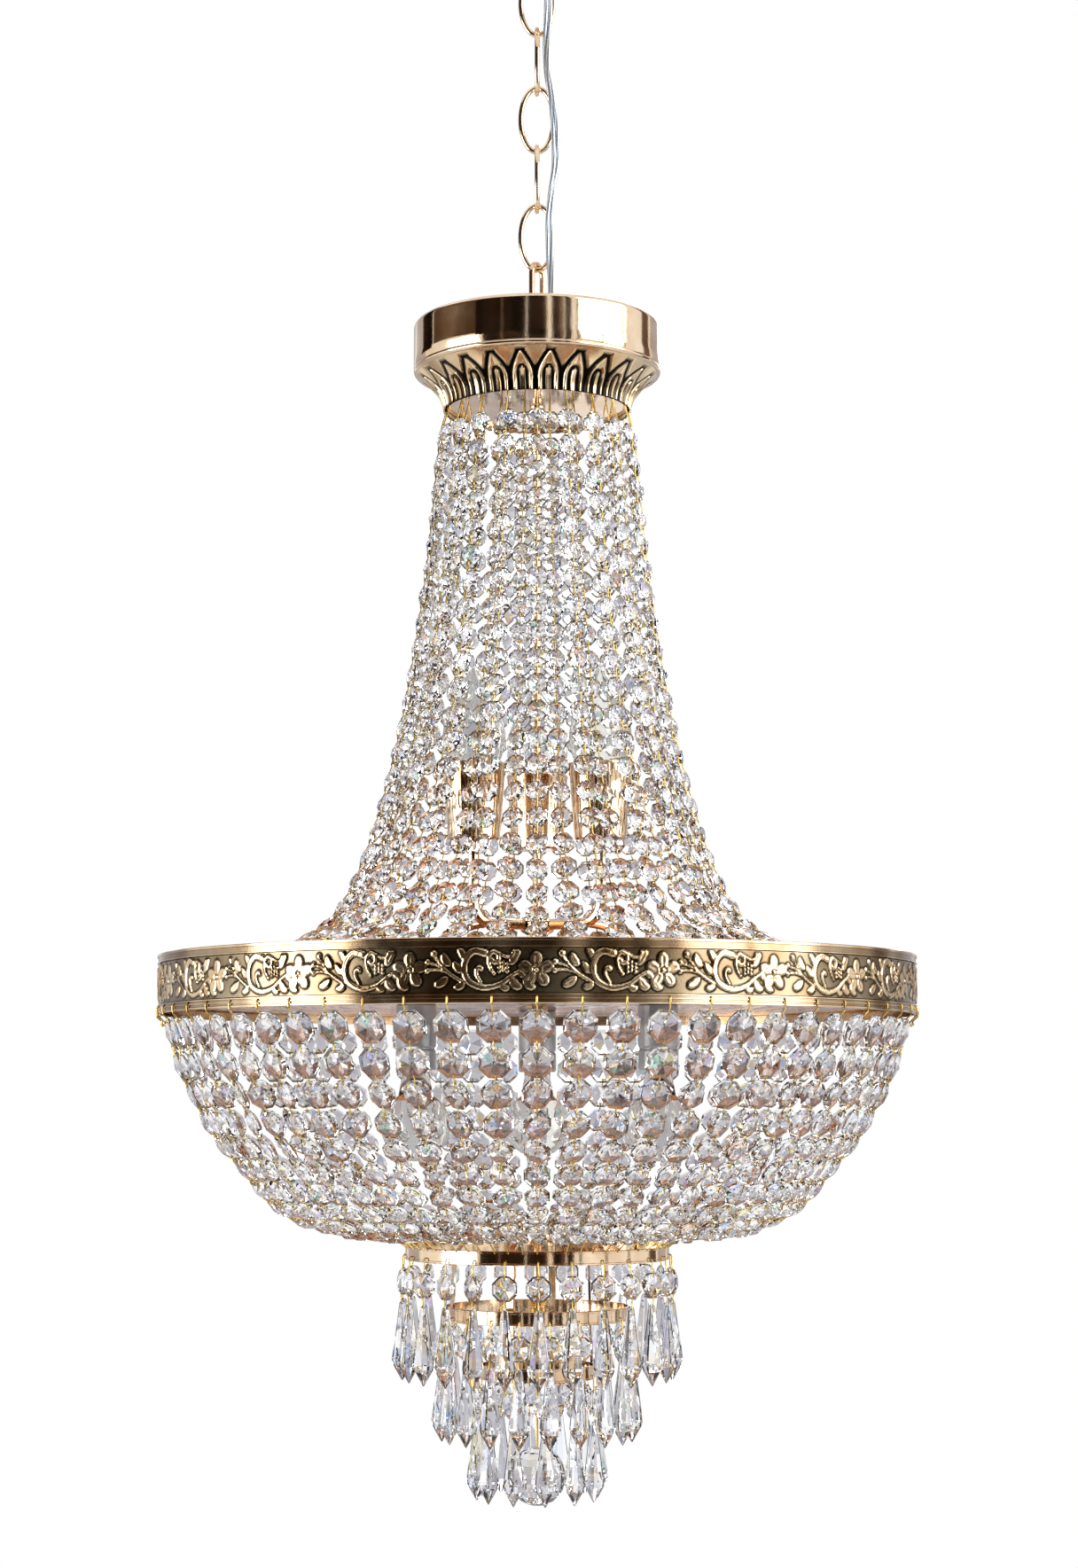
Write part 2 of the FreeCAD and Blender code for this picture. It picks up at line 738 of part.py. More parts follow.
def stem_tube():
    """The tube from the crown's top down through the crown plate, screwed on the loop's stud."""
    length = STEM_TUBE_TOP - STEM_TUBE_FOOT
    outer = Part.makeCylinder(size("stem_tube_diameter") / 2, length, Vector(0, 0, STEM_TUBE_FOOT))
    bore = Part.makeCylinder(size("stem_tube_bore") / 2, length, Vector(0, 0, STEM_TUBE_FOOT))
    thread = Part.makeCylinder(
        size("loop_stud_diameter") / 2, STUD_REACH, Vector(0, 0, STEM_TUBE_TOP - STUD_REACH)
    )
    export(shaped("stem_tube", outer.cut(bore).cut(thread)))


def stem_collar():
    """The stepped collar that closes the tube and grips the rod."""
    foot = STEM_TUBE_FOOT - size("stem_collar_height")
    height = size("stem_collar_height")
    collar = Part.makeCylinder(size("stem_collar_diameter") / 2, height, Vector(0, 0, foot))
    plug_foot = Vector(0, 0, STEM_TUBE_FOOT)
    plug = Part.makeCylinder(size("stem_tube_bore") / 2, size("stem_plug_length"), plug_foot)
    bore = Part.makeCylinder(size("rod_diameter") / 2, CUTTER, Vector(0, 0, foot - CUTTER / 2))
    export(shaped("stem_collar", collar.fuse(plug).cut(bore).removeSplitter()))


def centre_rod():
    """The long rod that carries the lamps, the main ring and the tier rings."""
    rod = DOCUMENT.addObject("Part::Cylinder", "centre_rod")
    rod.setExpression("Radius", "Sizes.rod_diameter / 2")
    rod.Height = STEM_TUBE_FOOT + size("rod_engagement") - ROD_FOOT
    rod.Placement.Base.z = ROD_FOOT
    rod.Label = "centre_rod"
    export(rod)


def lamp_wire():
    """The sleeve with the lamp wires: from the crown terminal down behind the rod to the hub."""
    block_back = CORD_POINTS[-1][1] + size("terminal_width") / 2
    block_middle = CORD_POINTS[-1][2] - size("terminal_height") / 2
    bend_height = LEAF_FOOT + size("crown_plate_rise") + WIRE_BEND_RISE
    points = [
        Vector(0, LAMP_WIRE_Y, HUB_TOP),
        Vector(0, LAMP_WIRE_Y, bend_height),
        Vector(WIRE_BEND_REACH, LAMP_WIRE_Y, block_middle - WIRE_BEND_DROP),
        Vector(WIRE_REACH, block_back - WIRE_SINK, block_middle),
    ]
    sleeve = tube_along(bent_edges(points, cord_radii(points)), size("lamp_wire_diameter") / 2)
    export(shaped("lamp_wire", sleeve.cut(crown_terminal_shape())))


# ---------------------------------------------------------------- lamps


def lamp_hub():
    """The round hub on the rod that the lamp arms and the stays start from."""
    radius = size("lamp_hub_radius")
    hub = Part.makeCylinder(radius, size("lamp_hub_height"), Vector(0, 0, HUB_FOOT))
    tip_radius = (size("rod_diameter") + size("hub_cap_height")) / 2
    cap = Part.makeCone(radius, tip_radius, size("hub_cap_height"), Vector(0, 0, HUB_FOOT), Vector(0, 0, -1))
    bore = Part.makeCylinder(size("rod_diameter") / 2, CUTTER, Vector(0, 0, HUB_FOOT - CUTTER / 2))
    export(shaped("lamp_hub", hub.fuse(cap).cut(bore).removeSplitter()))


def lamp_arms():
    """One bent tube to each upper lamp, from the hub out and up to the cup's foot."""
    height = HUB_FOOT + size("lamp_hub_height") / 2
    circle = size("upper_lamp_circle")
    points = [
        Vector(size("lamp_hub_radius") - size("arm_sink"), 0, height),
        Vector(circle, 0, height),
        Vector(circle, 0, CUP_FOOT),
    ]
    arm = tube_along(bent_edges(points, [size("lamp_arm_bend")]), size("lamp_arm_diameter") / 2)
    hub = Part.makeCylinder(size("lamp_hub_radius"), size("lamp_hub_height"), Vector(0, 0, HUB_FOOT))
    arm = arm.cut(hub)
    export(shaped("lamp_arms", solids_of(turned_copies(arm, count("upper_lamp_count"), FIRST_LAMP_ANGLE))))


def lamp_cup_shape():
    """One tapered gold cup, open at the top, with a rolled edge."""
    wall = size("cup_wall")
    foot = size("cup_foot_radius")
    top = size("cup_top_radius")
    rise = size("cup_height")
    outer = Part.makeCone(foot, top, rise, Vector(0, 0, 0))
    inner = Part.makeCone(foot - wall, top - wall, rise - wall, Vector(0, 0, wall))
    return outer.cut(inner)


def on_circle(shape, circle, foot, copies, first_angle):
    """Copies of a shape stood on a circle about the axis."""
    moved = shape.copy()
    moved.translate(Vector(circle, 0, foot))
    return turned_copies(moved, copies, first_angle)


def upper_lamp_cups():
    """The three cups that the photograph shows through the strands."""
    cups = on_circle(
        lamp_cup_shape(), size("upper_lamp_circle"), CUP_FOOT, count("upper_lamp_count"), FIRST_LAMP_ANGLE
    )
    export(shaped("upper_lamp_cups", solids_of(cups)))


def holder_shape():
    """One lampholder: a tube with a floor, bored for the bulb's cap."""
    bore = size("cap_radius") + size("cap_clearance")
    depth = size("cap_length")
    outer = Part.makeCylinder(size("holder_radius"), size("holder_height"))
    hollow = Part.makeCylinder(bore, depth, Vector(0, 0, size("holder_height") - depth))
    waist = Part.makeCylinder(
        bore - size("holder_step"),
        size("holder_height") - depth - size("holder_floor"),
        Vector(0, 0, size("holder_floor")),
    )
    return outer.cut(hollow).cut(waist)


def lampholders():
    """All the lampholders: three stand in the cups and three hang from the lamp plate."""
    upper = on_circle(
        holder_shape(),
        size("upper_lamp_circle"),
        CUP_FOOT + size("cup_wall"),
        count("upper_lamp_count"),
        FIRST_LAMP_ANGLE,
    )
    lower = on_circle(
        hung(holder_shape()),
        size("lower_lamp_circle"),
        PLATE_TOP - size("plate_thickness"),
        count("lower_lamp_count"),
        FIRST_LAMP_ANGLE,
    )
    export(shaped("lampholders", solids_of(upper + lower)))


def turned_solid(outline):
    """A solid turned about Z from (radius, height) corners that start and end on the axis."""
    points = [Vector(radius, 0, height) for radius, height in outline]
    face = Part.Face(Part.makePolygon(points + points[:1]))
    return face.revolve(Vector(), Vector(0, 0, 1), 360)


def candle_bulb_shape():
    """A candle bulb, from the foot of its cap to its tip."""
    cap = size("cap_radius")
    glass = size("candle_radius")
    shoulder = size("cap_length")
    length = size("candle_length")
    return turned_solid(
        (
            (0, 0),
            (cap, 0),
            (cap, shoulder),
            (cap + size("bulb_collar"), shoulder + size("bulb_collar_rise")),
            (glass * 0.82, shoulder + length * 0.18),
            (glass, shoulder + length * 0.36),
            (glass * 0.94, shoulder + length * 0.55),
            (glass * 0.62, shoulder + length * 0.76),
            (glass * 0.2, shoulder + length * 0.94),
            (0, shoulder + length),
        )
    )


def globe_bulb_shape():
    """A small globe bulb, from the foot of its cap to its crown."""
    cap = size("cap_radius")
    glass = size("globe_radius")
    shoulder = size("cap_length")
    centre = shoulder + size("globe_neck") + glass * 0.6
    arc = [math.radians(angle) for angle in (-50, -25, 0, 25, 50, 75)]
    collar = (cap + size("bulb_collar"), shoulder + size("bulb_collar_rise"))
    glass_line = [(glass * math.cos(angle), centre + glass * math.sin(angle)) for angle in arc]
    return turned_solid([(0, 0), (cap, 0), (cap, shoulder), collar] + glass_line + [(0, centre + glass)])


def holder_bore_floor():
    """The height of the cap's seat in a lampholder."""
    return size("holder_height") - size("cap_length") + size("cap_lift")


def upper_bulbs():
    """Three candle bulbs, each screwed in its own lampholder."""
    foot = CUP_FOOT + size("cup_wall") + holder_bore_floor()
    bulbs = on_circle(
        candle_bulb_shape(), size("upper_lamp_circle"), foot, count("upper_lamp_count"), FIRST_LAMP_ANGLE
    )
    for number, bulb in enumerate(bulbs, start=1):
        export(shaped("upper_bulb_%d" % number, bulb))


def hung(shape):
    """A shape turned upside down about its own foot."""
    turned = shape.copy()
    turned.rotate(Vector(), Vector(1, 0, 0), 180)
    return turned


def lower_bulbs():
    """Three globe bulbs inside the bowl."""
    foot = PLATE_TOP - size("plate_thickness") - holder_bore_floor()
    bulbs = on_circle(
        hung(globe_bulb_shape()),
        size("lower_lamp_circle"),
        foot,
        count("lower_lamp_count"),
        FIRST_LAMP_ANGLE,
    )
    for number, bulb in enumerate(bulbs, start=1):
        export(shaped("lower_bulb_%d" % number, bulb))


# ---------------------------------------------------------------- main ring


def main_ring():
    """The rolled ring: a band with a raised border along its top and its bottom edge."""
    inner = "Sizes.ring_radius - Sizes.ring_wall - Sizes.ring_border_depth"
    field = "Sizes.ring_radius - Sizes.ring_border_depth"
    export(
        turned_body(
            "main_ring",
            (
                (inner, "0"),
                ("Sizes.ring_radius", "0"),
                ("Sizes.ring_radius", "Sizes.ring_border"),
                (field, "Sizes.ring_border"),
                (field, "Sizes.ring_height - Sizes.ring_border"),
                ("Sizes.ring_radius", "Sizes.ring_height - Sizes.ring_border"),
                ("Sizes.ring_radius", "Sizes.ring_height"),
                (inner, "Sizes.ring_height"),
            ),
            RING_FOOT,
        )
    )


def floral_band():
    """The pressed strip of flowers and scrolls let into the ring between its borders."""
    back = "Sizes.ring_radius - Sizes.ring_border_depth + Sizes.band_gap"
    front = back + " + Sizes.band_thickness"
    export(
        turned_body(
            "floral_band",
            (
                (back, "0"),
                (front, "0"),
                (front, "Sizes.ring_height - 2 * Sizes.ring_border - 2 * Sizes.band_gap"),
                (back, "Sizes.ring_height - 2 * Sizes.ring_border - 2 * Sizes.band_gap"),
            ),
            RING_FOOT + size("ring_border") + size("band_gap"),
        )
    )


def lamp_plate():
    """The spun plate on the rod that the lower lampholders hang from, with a turned-up rim."""
    export(
        turned_body(
            "lamp_plate",
            (
                ("Sizes.plate_bore / 2", "0"),
                ("Sizes.plate_radius", "0"),
                ("Sizes.plate_radius", "Sizes.plate_rim_height"),
                ("Sizes.plate_radius - Sizes.plate_thickness", "Sizes.plate_rim_height"),
                ("Sizes.plate_radius - Sizes.plate_thickness", "Sizes.plate_thickness"),
                ("Sizes.plate_bore / 2", "Sizes.plate_thickness"),
            ),
            PLATE_TOP - size("plate_thickness"),
        )
    )


def ring_spokes():
    """Short flat bars from the lamp plate's rim to the main ring, each with a foot bent up the ring."""
    start = size("plate_radius")
    end = RING_INSIDE
    width = size("spoke_width")
    thickness = size("spoke_thickness")
    below = Vector(0, 0, PLATE_TOP - CUTTER / 2)
    bar = Part.makeBox(end - start, width, thickness, Vector(start, -width / 2, PLATE_TOP))
    tab_corner = Vector(end - thickness, -width / 2, PLATE_TOP)
    tab = Part.makeBox(thickness, width, size("spoke_tab_height"), tab_corner)
    spoke = bar.fuse(tab).removeSplitter()
    spoke = spoke.common(Part.makeCylinder(end, CUTTER, below))
    spoke = spoke.cut(Part.makeCylinder(start, CUTTER, below))
    export(shaped("ring_spokes", solids_of(turned_copies(spoke, count("spoke_count"), FIRST_SPOKE_ANGLE))))


def ring_stays():
    """Curved stays from the hub out and down to the lamp plate."""
    height = HUB_FOOT + size("lamp_hub_height") / 2
    foot_radius = size("stay_foot_radius")
    points = [
        Vector(size("lamp_hub_radius") - size("arm_sink"), 0, height),
        Vector(size("stay_crest_radius"), 0, height + size("stay_crest_rise")),
        Vector(foot_radius, 0, height - size("stay_shoulder_drop")),
        Vector(foot_radius + size("stay_foot_spread"), 0, PLATE_TOP),
    ]
    stay = tube_along(bent_edges(points, STAY_BENDS), size("stay_diameter") / 2)
    hub = Part.makeCylinder(size("lamp_hub_radius"), size("lamp_hub_height"), Vector(0, 0, HUB_FOOT))
    reach = 2 * foot_radius
    floor = Part.makeBox(2 * reach, 2 * reach, CUTTER, Vector(-reach, -reach, PLATE_TOP - CUTTER))
    stay = stay.cut(hub).cut(floor)
    export(shaped("ring_stays", solids_of(turned_copies(stay, count("stay_count"), FIRST_SPOKE_ANGLE))))


def plate_nuts():
    """The two nuts that clamp the lamp plate on the rod."""
    bore = size("rod_diameter") / 2
    nuts = []
    for foot in (PLATE_TOP, PLATE_TOP - size("plate_thickness") - size("nut_height")):
        blank = Part.Face(hexagon(size("nut_radius"), foot)).extrude(Vector(0, 0, size("nut_height")))
        nuts.append(blank.cut(Part.makeCylinder(bore, CUTTER, Vector(0, 0, foot - CUTTER / 2))))
    export(shaped("plate_nuts", solids_of(nuts)))


def hexagon(radius, height):
    """A closed hexagon outline about the axis."""
    corners = [
        Vector(radius * math.cos(math.radians(60 * k)), radius * math.sin(math.radians(60 * k)), height)
        for k in range(7)
    ]
    return Part.makePolygon(corners)


# ---------------------------------------------------------------- tier rings


def tier_ring(number):
    """One of the polished bands that the drops hang from."""
    radius = "Sizes.tier_%d_radius" % number
    export(
        turned_body(
            "tier_ring_%d" % number,
            (
                (radius + " - Sizes.tier_ring_wall", "0"),
                (radius, "0"),
                (radius, "Sizes.tier_ring_height"),
                (radius + " - Sizes.tier_ring_wall", "Sizes.tier_ring_height"),
            ),
            TIER_TOPS[number - 1] - size("tier_ring_height"),
        )
    )


def tail_hub():
    """The boss low on the rod that the straps to the tier rings are riveted to."""
    height = size("tail_hub_height")
    foot = TAIL_HUB_TOP - height
    blank = Part.makeCylinder(size("tail_hub_radius"), height, Vector(0, 0, foot))
    bore = Part.makeCylinder(size("rod_diameter") / 2, CUTTER, Vector(0, 0, foot - CUTTER / 2))
    export(shaped("tail_hub", blank.cut(bore)))


def strap_shape(ring_radius, drop, start_height):
    """One flat strap from the tail hub, out and down to the inside of a tier ring."""
    width = size("strap_width")
    thickness = size("strap_thickness")
    inner = ring_radius - size("tier_ring_wall")
    outer_line = [
        Vector(size("tail_hub_radius"), 0, start_height),
        Vector(inner - 2 * thickness, 0, start_height),
        Vector(inner - thickness / 2, 0, start_height - drop),
    ]
    reach = min(inner - size("tail_hub_radius"), drop)
    edges = bent_edges(outer_line, [STRAP_BEND_SHARE * reach])
    across = Vector(0, width / 2, 0)
    up = Vector(0, 0, thickness / 2)
    start = outer_line[0]
    corners = [start - across - up, start + across - up, start + across + up, start - across + up]
    section = Part.makePolygon(corners + corners[:1])
    strap = Part.Wire(edges).makePipeShell([section], True, True)
    inside = Part.makeCylinder(inner, 4 * CUTTER, Vector(0, 0, start_height - 3 * CUTTER))
    return strap.common(inside)


def tier_straps():
    """The straps of the tier rings, three to each ring, one ring's set above the next on the hub."""
    straps = []
    step = size("tail_hub_height") / len(TIER_TOPS)
    for number, top in enumerate(TIER_TOPS, start=1):
        start_height = TAIL_HUB_TOP - (number - 0.5) * step
        drop = start_height - (top - size("tier_ring_height"))
        strap = strap_shape(size("tier_%d_radius" % number), drop, start_height)
        straps += turned_copies(strap, STRAPS_PER_TIER, STRAP_TURN * number)
    export(shaped("tier_straps", solids_of(straps)))


# ---------------------------------------------------------------- crystals


def faceted_solid(rings, top, bottom):
    """A closed solid through rings of corners, from a top point to a bottom point."""
    faces = []
    sides = len(rings[0])
    for k in range(sides):
        after = (k + 1) % sides
        faces.append(flat_face([top, rings[0][k], rings[0][after]]))
        for upper, lower in zip(rings, rings[1:]):
            faces.append(flat_face([upper[k], lower[k], lower[after], upper[after]]))
        faces.append(flat_face([rings[-1][k], bottom, rings[-1][after]]))
    return Part.makeSolid(Part.makeShell(faces))


def flat_face(corners):
    """A flat face through its corners."""
    return Part.Face(Part.makePolygon(corners + corners[:1]))


def octagon_bead(width, thickness):
    """One octagon crystal, flat side along Y, with eight facets to a point on each side."""
    radius = width / 2 / math.cos(math.pi / 8)
    rim = [
        Vector(radius * math.cos(math.pi * (k + 0.5) / 4), 0, radius * math.sin(math.pi * (k + 0.5) / 4))
        for k in range(8)
    ]
    return faceted_solid([rim], Vector(0, thickness / 2, 0), Vector(0, -thickness / 2, 0))


def spear_drop():
    """One spear drop, hung from its top point: it widens to a waist and ends in a point."""
    length = size("drop_length")
    waist = -length * size("drop_waist_share")
    neck_radius = size("drop_neck") / 2
    waist_radius = size("drop_width") / 2
    neck = drop_ring(neck_radius, -size("drop_neck_drop"))
    belly = drop_ring(waist_radius, waist)
    return faceted_solid([neck, belly], Vector(), Vector(0, 0, -length))


def drop_ring(radius, height):
    """Eight corners about the drop's own axis."""
    turns = [math.pi * k / 4 for k in range(8)]
    return [Vector(radius * math.cos(turn), radius * math.sin(turn), height) for turn in turns]


class Strand:
    """A curve in the XZ plane that beads are threaded along, measured by its length."""

    def __init__(self, points):
        spline = Part.BSplineCurve()
        spline.interpolate([Vector(radius, 0, height) for radius, height in points])
        self.edge = spline.toShape()
        self.length = self.edge.Length

    def frame(self, distance):
        """The point at a distance along the strand, and the placement of a bead there."""
        parameter = self.edge.getParameterByLength(distance)
        point = self.edge.valueAt(parameter)
        along = self.edge.tangentAt(parameter)
        outward = Vector(-along.z, 0, along.x)
        return Placement(point, Rotation(outward.cross(along), outward, along * 1.0, "ZYX"))


def bead_at(strand, distance, shape, twist=0.0):
    """A bead set on the strand, with its flat side out, turned about the strand by a twist."""
    bead = shape.copy()
    bead.Placement = strand.frame(distance) * Placement(Vector(), Rotation(Vector(0, 0, 1), twist))
    return bead


def pin_between(strand, start, end):
    """The brass pin between two beads, as a short straight wire."""
    first = strand.frame(start + size("pin_gap")).Base
    last = strand.frame(end - size("pin_gap")).Base
    return Part.makeCylinder(size("pin_diameter") / 2, first.distanceToPoint(last), first, last - first)


def threaded(strand, widths, lead, gap, twist_of):
    """Beads and pins along a strand: a hook wire, beads with a pin between each two, and a hook wire."""
    beads = []
    pins = []
    distance = lead
    pins.append(pin_between(strand, 0.0, distance))
    for number, width in enumerate(widths, start=1):
        centre = distance + width / 2
        radius = strand.frame(centre).Base.x
        bead = octagon_bead(width, size("bead_thickness"))
        beads.append(bead_at(strand, centre, bead, twist_of(radius, width)))
        far_side = distance + width
        distance = strand.length if number == len(widths) else far_side + gap
        pins.append(pin_between(strand, far_side, distance))
    return beads, pins


def upper_strand(circle, top, inset):
    """One upper strand in the XZ plane, from a hook circle under the crown to the main ring's inside.

    The drawn route is stretched to the real ends, and the inset draws it in above the ring."""
    end_radius = RING_INSIDE - size("pin_gap")
    end_height = RING_FOOT + STRAND_POINTS[-1][1]
    drawn_reach = STRAND_POINTS[-1][0] - STRAND_POINTS[0][0]
    drawn_rise = STRAND_POINTS[0][1] - STRAND_POINTS[-1][1]
    outer_circle = circle + inset
    route = []
    for radius, height in STRAND_POINTS:
        above = height - STRAND_POINTS[-1][1]
        reach = (radius - STRAND_POINTS[0][0]) / drawn_reach
        fade = min(1.0, above / size("inset_fade_height"))
        drawn_in = outer_circle + reach * (end_radius - outer_circle) - inset * fade
        route.append((drawn_in, end_height + above / drawn_rise * (top - end_height)))
    strand = Strand(route)
    width = size("upper_bead_width")
    gap = size("upper_bead_pitch") - width
    lead = size("upper_hook_length") + top - LEAF_FOOT
    number = int((strand.length - lead) // size("upper_bead_pitch"))
    return threaded(strand, [width] * number, lead, gap, lambda radius, bead: 0.0)


def upper_strands():
    """Both circles of upper strands, with their pins in one group."""
    copies = count("upper_strand_count")
    inset = size("inner_strand_inset")
    circle = size("leaf_ring_waist") - size("leaf_ring_wall") / 2
    plate_foot = LEAF_FOOT + size("crown_plate_rise")
    outer_beads, outer_pins = upper_strand(circle, LEAF_FOOT - size("pin_gap"), 0.0)
    inner_beads, inner_pins = upper_strand(circle - inset, plate_foot - size("pin_gap"), inset)
    half_step = 180.0 / copies
    export(shaped("upper_crystals_outer", spread(outer_beads, copies, 0.0)))
    export(shaped("upper_crystals_inner", spread(inner_beads, copies, half_step)))
    pins = spread(outer_pins, copies, 0.0).Solids + spread(inner_pins, copies, half_step).Solids
    export(shaped("upper_strand_pins", Part.makeCompound(pins)))


def spread(shapes, copies, first_angle):
    """A compound of one strand's solids repeated about the axis."""
    strand = Part.makeCompound(shapes)
    return solids_of(turned_copies(strand, copies, first_angle))


def bowl_points():
    """The bowl strand's route: from its hook on the main ring in to the first tier ring's top edge."""
    clear = size("pin_diameter") / 2 + size("pin_gap")
    start = (RING_INSIDE + size("ring_wall") / 2, RING_FOOT - clear)
    end = (size("tier_1_radius") - size("tier_ring_wall") / 2, TIER_TOPS[0] + clear)
    return [start] + [(radius, RING_FOOT - drop) for radius, drop in BOWL_POINTS] + [end]


def bowl_twist(radius, width):
    """How far a bead turns edge-on so that it clears the strands beside it."""
    spacing = 2 * math.pi * radius / count("bowl_strand_count")
    if spacing >= width + size("bowl_bead_room"):
        return 0.0
    share = min(1.0, (size("bead_thickness") + size("bowl_edge_room")) / spacing)
    return math.degrees(math.asin(share))


def bowl_widths(length, lead):
    """The bowl beads' widths, large under the ring and small towards the middle."""
    widths = []
    used = lead
    while True:
        share = min(1.0, used / (size("bowl_taper_share") * length))
        width = size("bowl_bead_width") + share * (size("bowl_small_bead_width") - size("bowl_bead_width"))
        if used + width + size("bowl_end_hook") > length:
            return widths
        widths.append(width)
        used += width + size("bowl_bead_gap")


def bowl_strands():
    """The bowl of crystal strands under the main ring, with their pins in one group."""
    copies = count("bowl_strand_count")
    strand = Strand(bowl_points())
    lead = size("bowl_hook_length")
    widths = bowl_widths(strand.length, lead)
    beads, pins = threaded(strand, widths, lead, size("bowl_bead_gap"), bowl_twist)
    export(shaped("bowl_crystals", spread(beads, copies, 0.0)))
    export(shaped("bowl_strand_pins", spread(pins, copies, 0.0)))


def tier_crystals(number):
    """One tier's crystals: an octagon and a spear drop under each hook, and the pins between them."""
    copies = count("tier_%d_drops" % number)
    ring_radius = size("tier_%d_radius" % number)
    circle = ring_radius + size("tier_hang_radius")
    foot = TIER_TOPS[number - 1] - size("tier_ring_height")
    width = size("tier_bead_width")
    gap = size("pin_gap")
    bead_top = foot - size("tier_hook_length")
    drop_top = bead_top - width - size("drop_link_length")
    bead = octagon_bead(width, size("bead_thickness"))
    bead.rotate(Vector(), Vector(0, 0, 1), 90)
    bead.translate(Vector(circle, 0, bead_top - width / 2))
    drop = spear_drop()
    drop.translate(Vector(circle, 0, drop_top))
    radius = size("pin_diameter") / 2
    hook_length = size("tier_hook_length") + size("tier_hook_hole") - gap
    hook = Part.makeCylinder(radius, hook_length, Vector(circle, 0, bead_top + gap))
    hold_foot = Vector(ring_radius + gap, 0, bead_top + gap + hook_length - 2 * radius)
    hold_reach = size("tier_hang_radius") - gap
    hold = Part.makeCylinder(size("tier_hold_diameter") / 2, hold_reach, hold_foot, Vector(1, 0, 0))
    pin = Part.makeCylinder(radius, size("drop_link_length") - 2 * gap, Vector(circle, 0, drop_top + gap))
    export(shaped("tier_%d_crystals" % number, spread([bead, drop], copies, FIRST_DROP_ANGLE)))
    return spread([hook.fuse(hold), pin], copies, FIRST_DROP_ANGLE).Solids


def tier_pins(pins):
    """The hooks and pins of all three tiers in one group."""
    export(shaped("tier_pins", Part.makeCompound(pins)))


def ball_eye():
    """The nut with an eye at the rod's foot that the crystal ball hangs from."""
    nut_height = size("eye_nut_height")
    nut = Part.makeCylinder(size("eye_nut_radius"), nut_height, Vector(0, 0, EYE_NUT_FOOT))
    bore = Part.makeCylinder(size("rod_diameter") / 2, nut_height, Vector(0, 0, ROD_FOOT))
    eye_centre = Vector(0, 0, BALL_PIVOT + size("ball_eye_radius"))
    eye = Part.makeTorus(size("ball_eye_radius"), size("ball_eye_wire") / 2, eye_centre, Vector(0, 1, 0))
    solid_floor = EYE_NUT_FOOT + size("eye_nut_drop") / 2
    below = Part.makeBox(CUTTER, CUTTER, CUTTER, Vector(-CUTTER / 2, -CUTTER / 2, solid_floor - CUTTER))
    export(shaped("ball_eye", nut.cut(bore).fuse(eye.common(below)).removeSplitter()))


def ball_drop():
    """The faceted ball in the middle, and the wire loop that it swings on."""
    wire = size("ball_wire") / 2
    loop_radius = size("ball_loop_radius")
    loop_centre = BALL_PIVOT - loop_radius + size("ball_eye_wire") / 2 + wire + size("link_play")
    loop = Part.makeTorus(loop_radius, wire, Vector(0, 0, loop_centre), Vector(1, 0, 0))
    ball_centre = BALL_PIVOT - size("ball_hang")
    ball = faceted_ball(size("ball_radius"))
    ball.translate(Vector(0, 0, ball_centre))
    top = loop_centre - loop_radius
    foot = ball_centre + size("ball_radius") - 2 * wire
    stem = Part.makeCylinder(wire, top - foot, Vector(0, 0, foot))
    export(shaped("ball_wire", stem.fuse(loop).cut(ball).removeSplitter()))
    export(shaped("crystal_ball", ball))


def faceted_ball(radius):
    """A ball of flat facets in rows."""
    rings = []
    for latitude in (60, 30, 0, -30, -60):
        ring_radius = radius * math.cos(math.radians(latitude))
        height = radius * math.sin(math.radians(latitude))
        rings.append(drop_ring(ring_radius, height))
    return faceted_solid(rings, Vector(0, 0, radius), Vector(0, 0, -radius))


# ---------------------------------------------------------------- cord


def cord_radii(points):
    """The radius of the arc at each inner point: as large as its two runs allow."""
    radii = []
    for before, corner, after in zip(points, points[1:], points[2:]):
        shorter = min(before.distanceToPoint(corner), corner.distanceToPoint(after))
        turn = math.pi - (before - corner).getAngle(after - corner)
        radii.append(0.45 * shorter / math.tan(turn / 2))
    return radii


def cord_segments():
    """The cord in six stretches, each from the middle of one link to the middle of the next."""
    points = [Vector(*point) for point in CORD_POINTS]
    radii = cord_radii(points)
    print("cord arc radii, mm:", [round(radius) for radius in radii])
    edges = bent_edges(points, radii)
    radius = size("cord_diameter") / 2
    whole = tube_along(edges, radius)
    length = sum(edge.Length for edge in edges)
    share = whole.Volume / (math.pi * radius**2 * length)
    print("cord length %.1f mm, volume over section times length %.4f" % (length, share))
    middles = [LINK_TOP - number * LINK_PITCH - LINK_SPAN / 2 for number in range(LINK_COUNT)]
    ends = [CORD_POINTS[0][2]] + middles + [CORD_POINTS[-1][2]]
    for number, (top, foot) in enumerate(zip(ends, ends[1:]), start=1):
        slab = Part.makeBox(CUTTER, CUTTER, top - foot, Vector(-CUTTER / 2, -CUTTER / 2, foot))
        export(shaped("cord_%d" % number, whole.common(slab)))


def write_parts():
    """Check every object, then write each sub-part to its own file."""
    for feature in DOCUMENT.Objects:
        if "Invalid" in feature.State or "Error" in feature.State:
            raise RuntimeError("%s is in error" % feature.Label)
    os.makedirs("parts", exist_ok=True)
    for feature in EXPORTED:
        shape = feature.Shape
        if shape.isNull() or not shape.isValid():
            raise RuntimeError("%s has no valid shape" % feature.Label)
        shape.exportStep("parts/%s.step" % feature.Label)
        print("%-24s %4d solids, %.0f mm3" % (feature.Label, len(shape.Solids), shape.Volume))


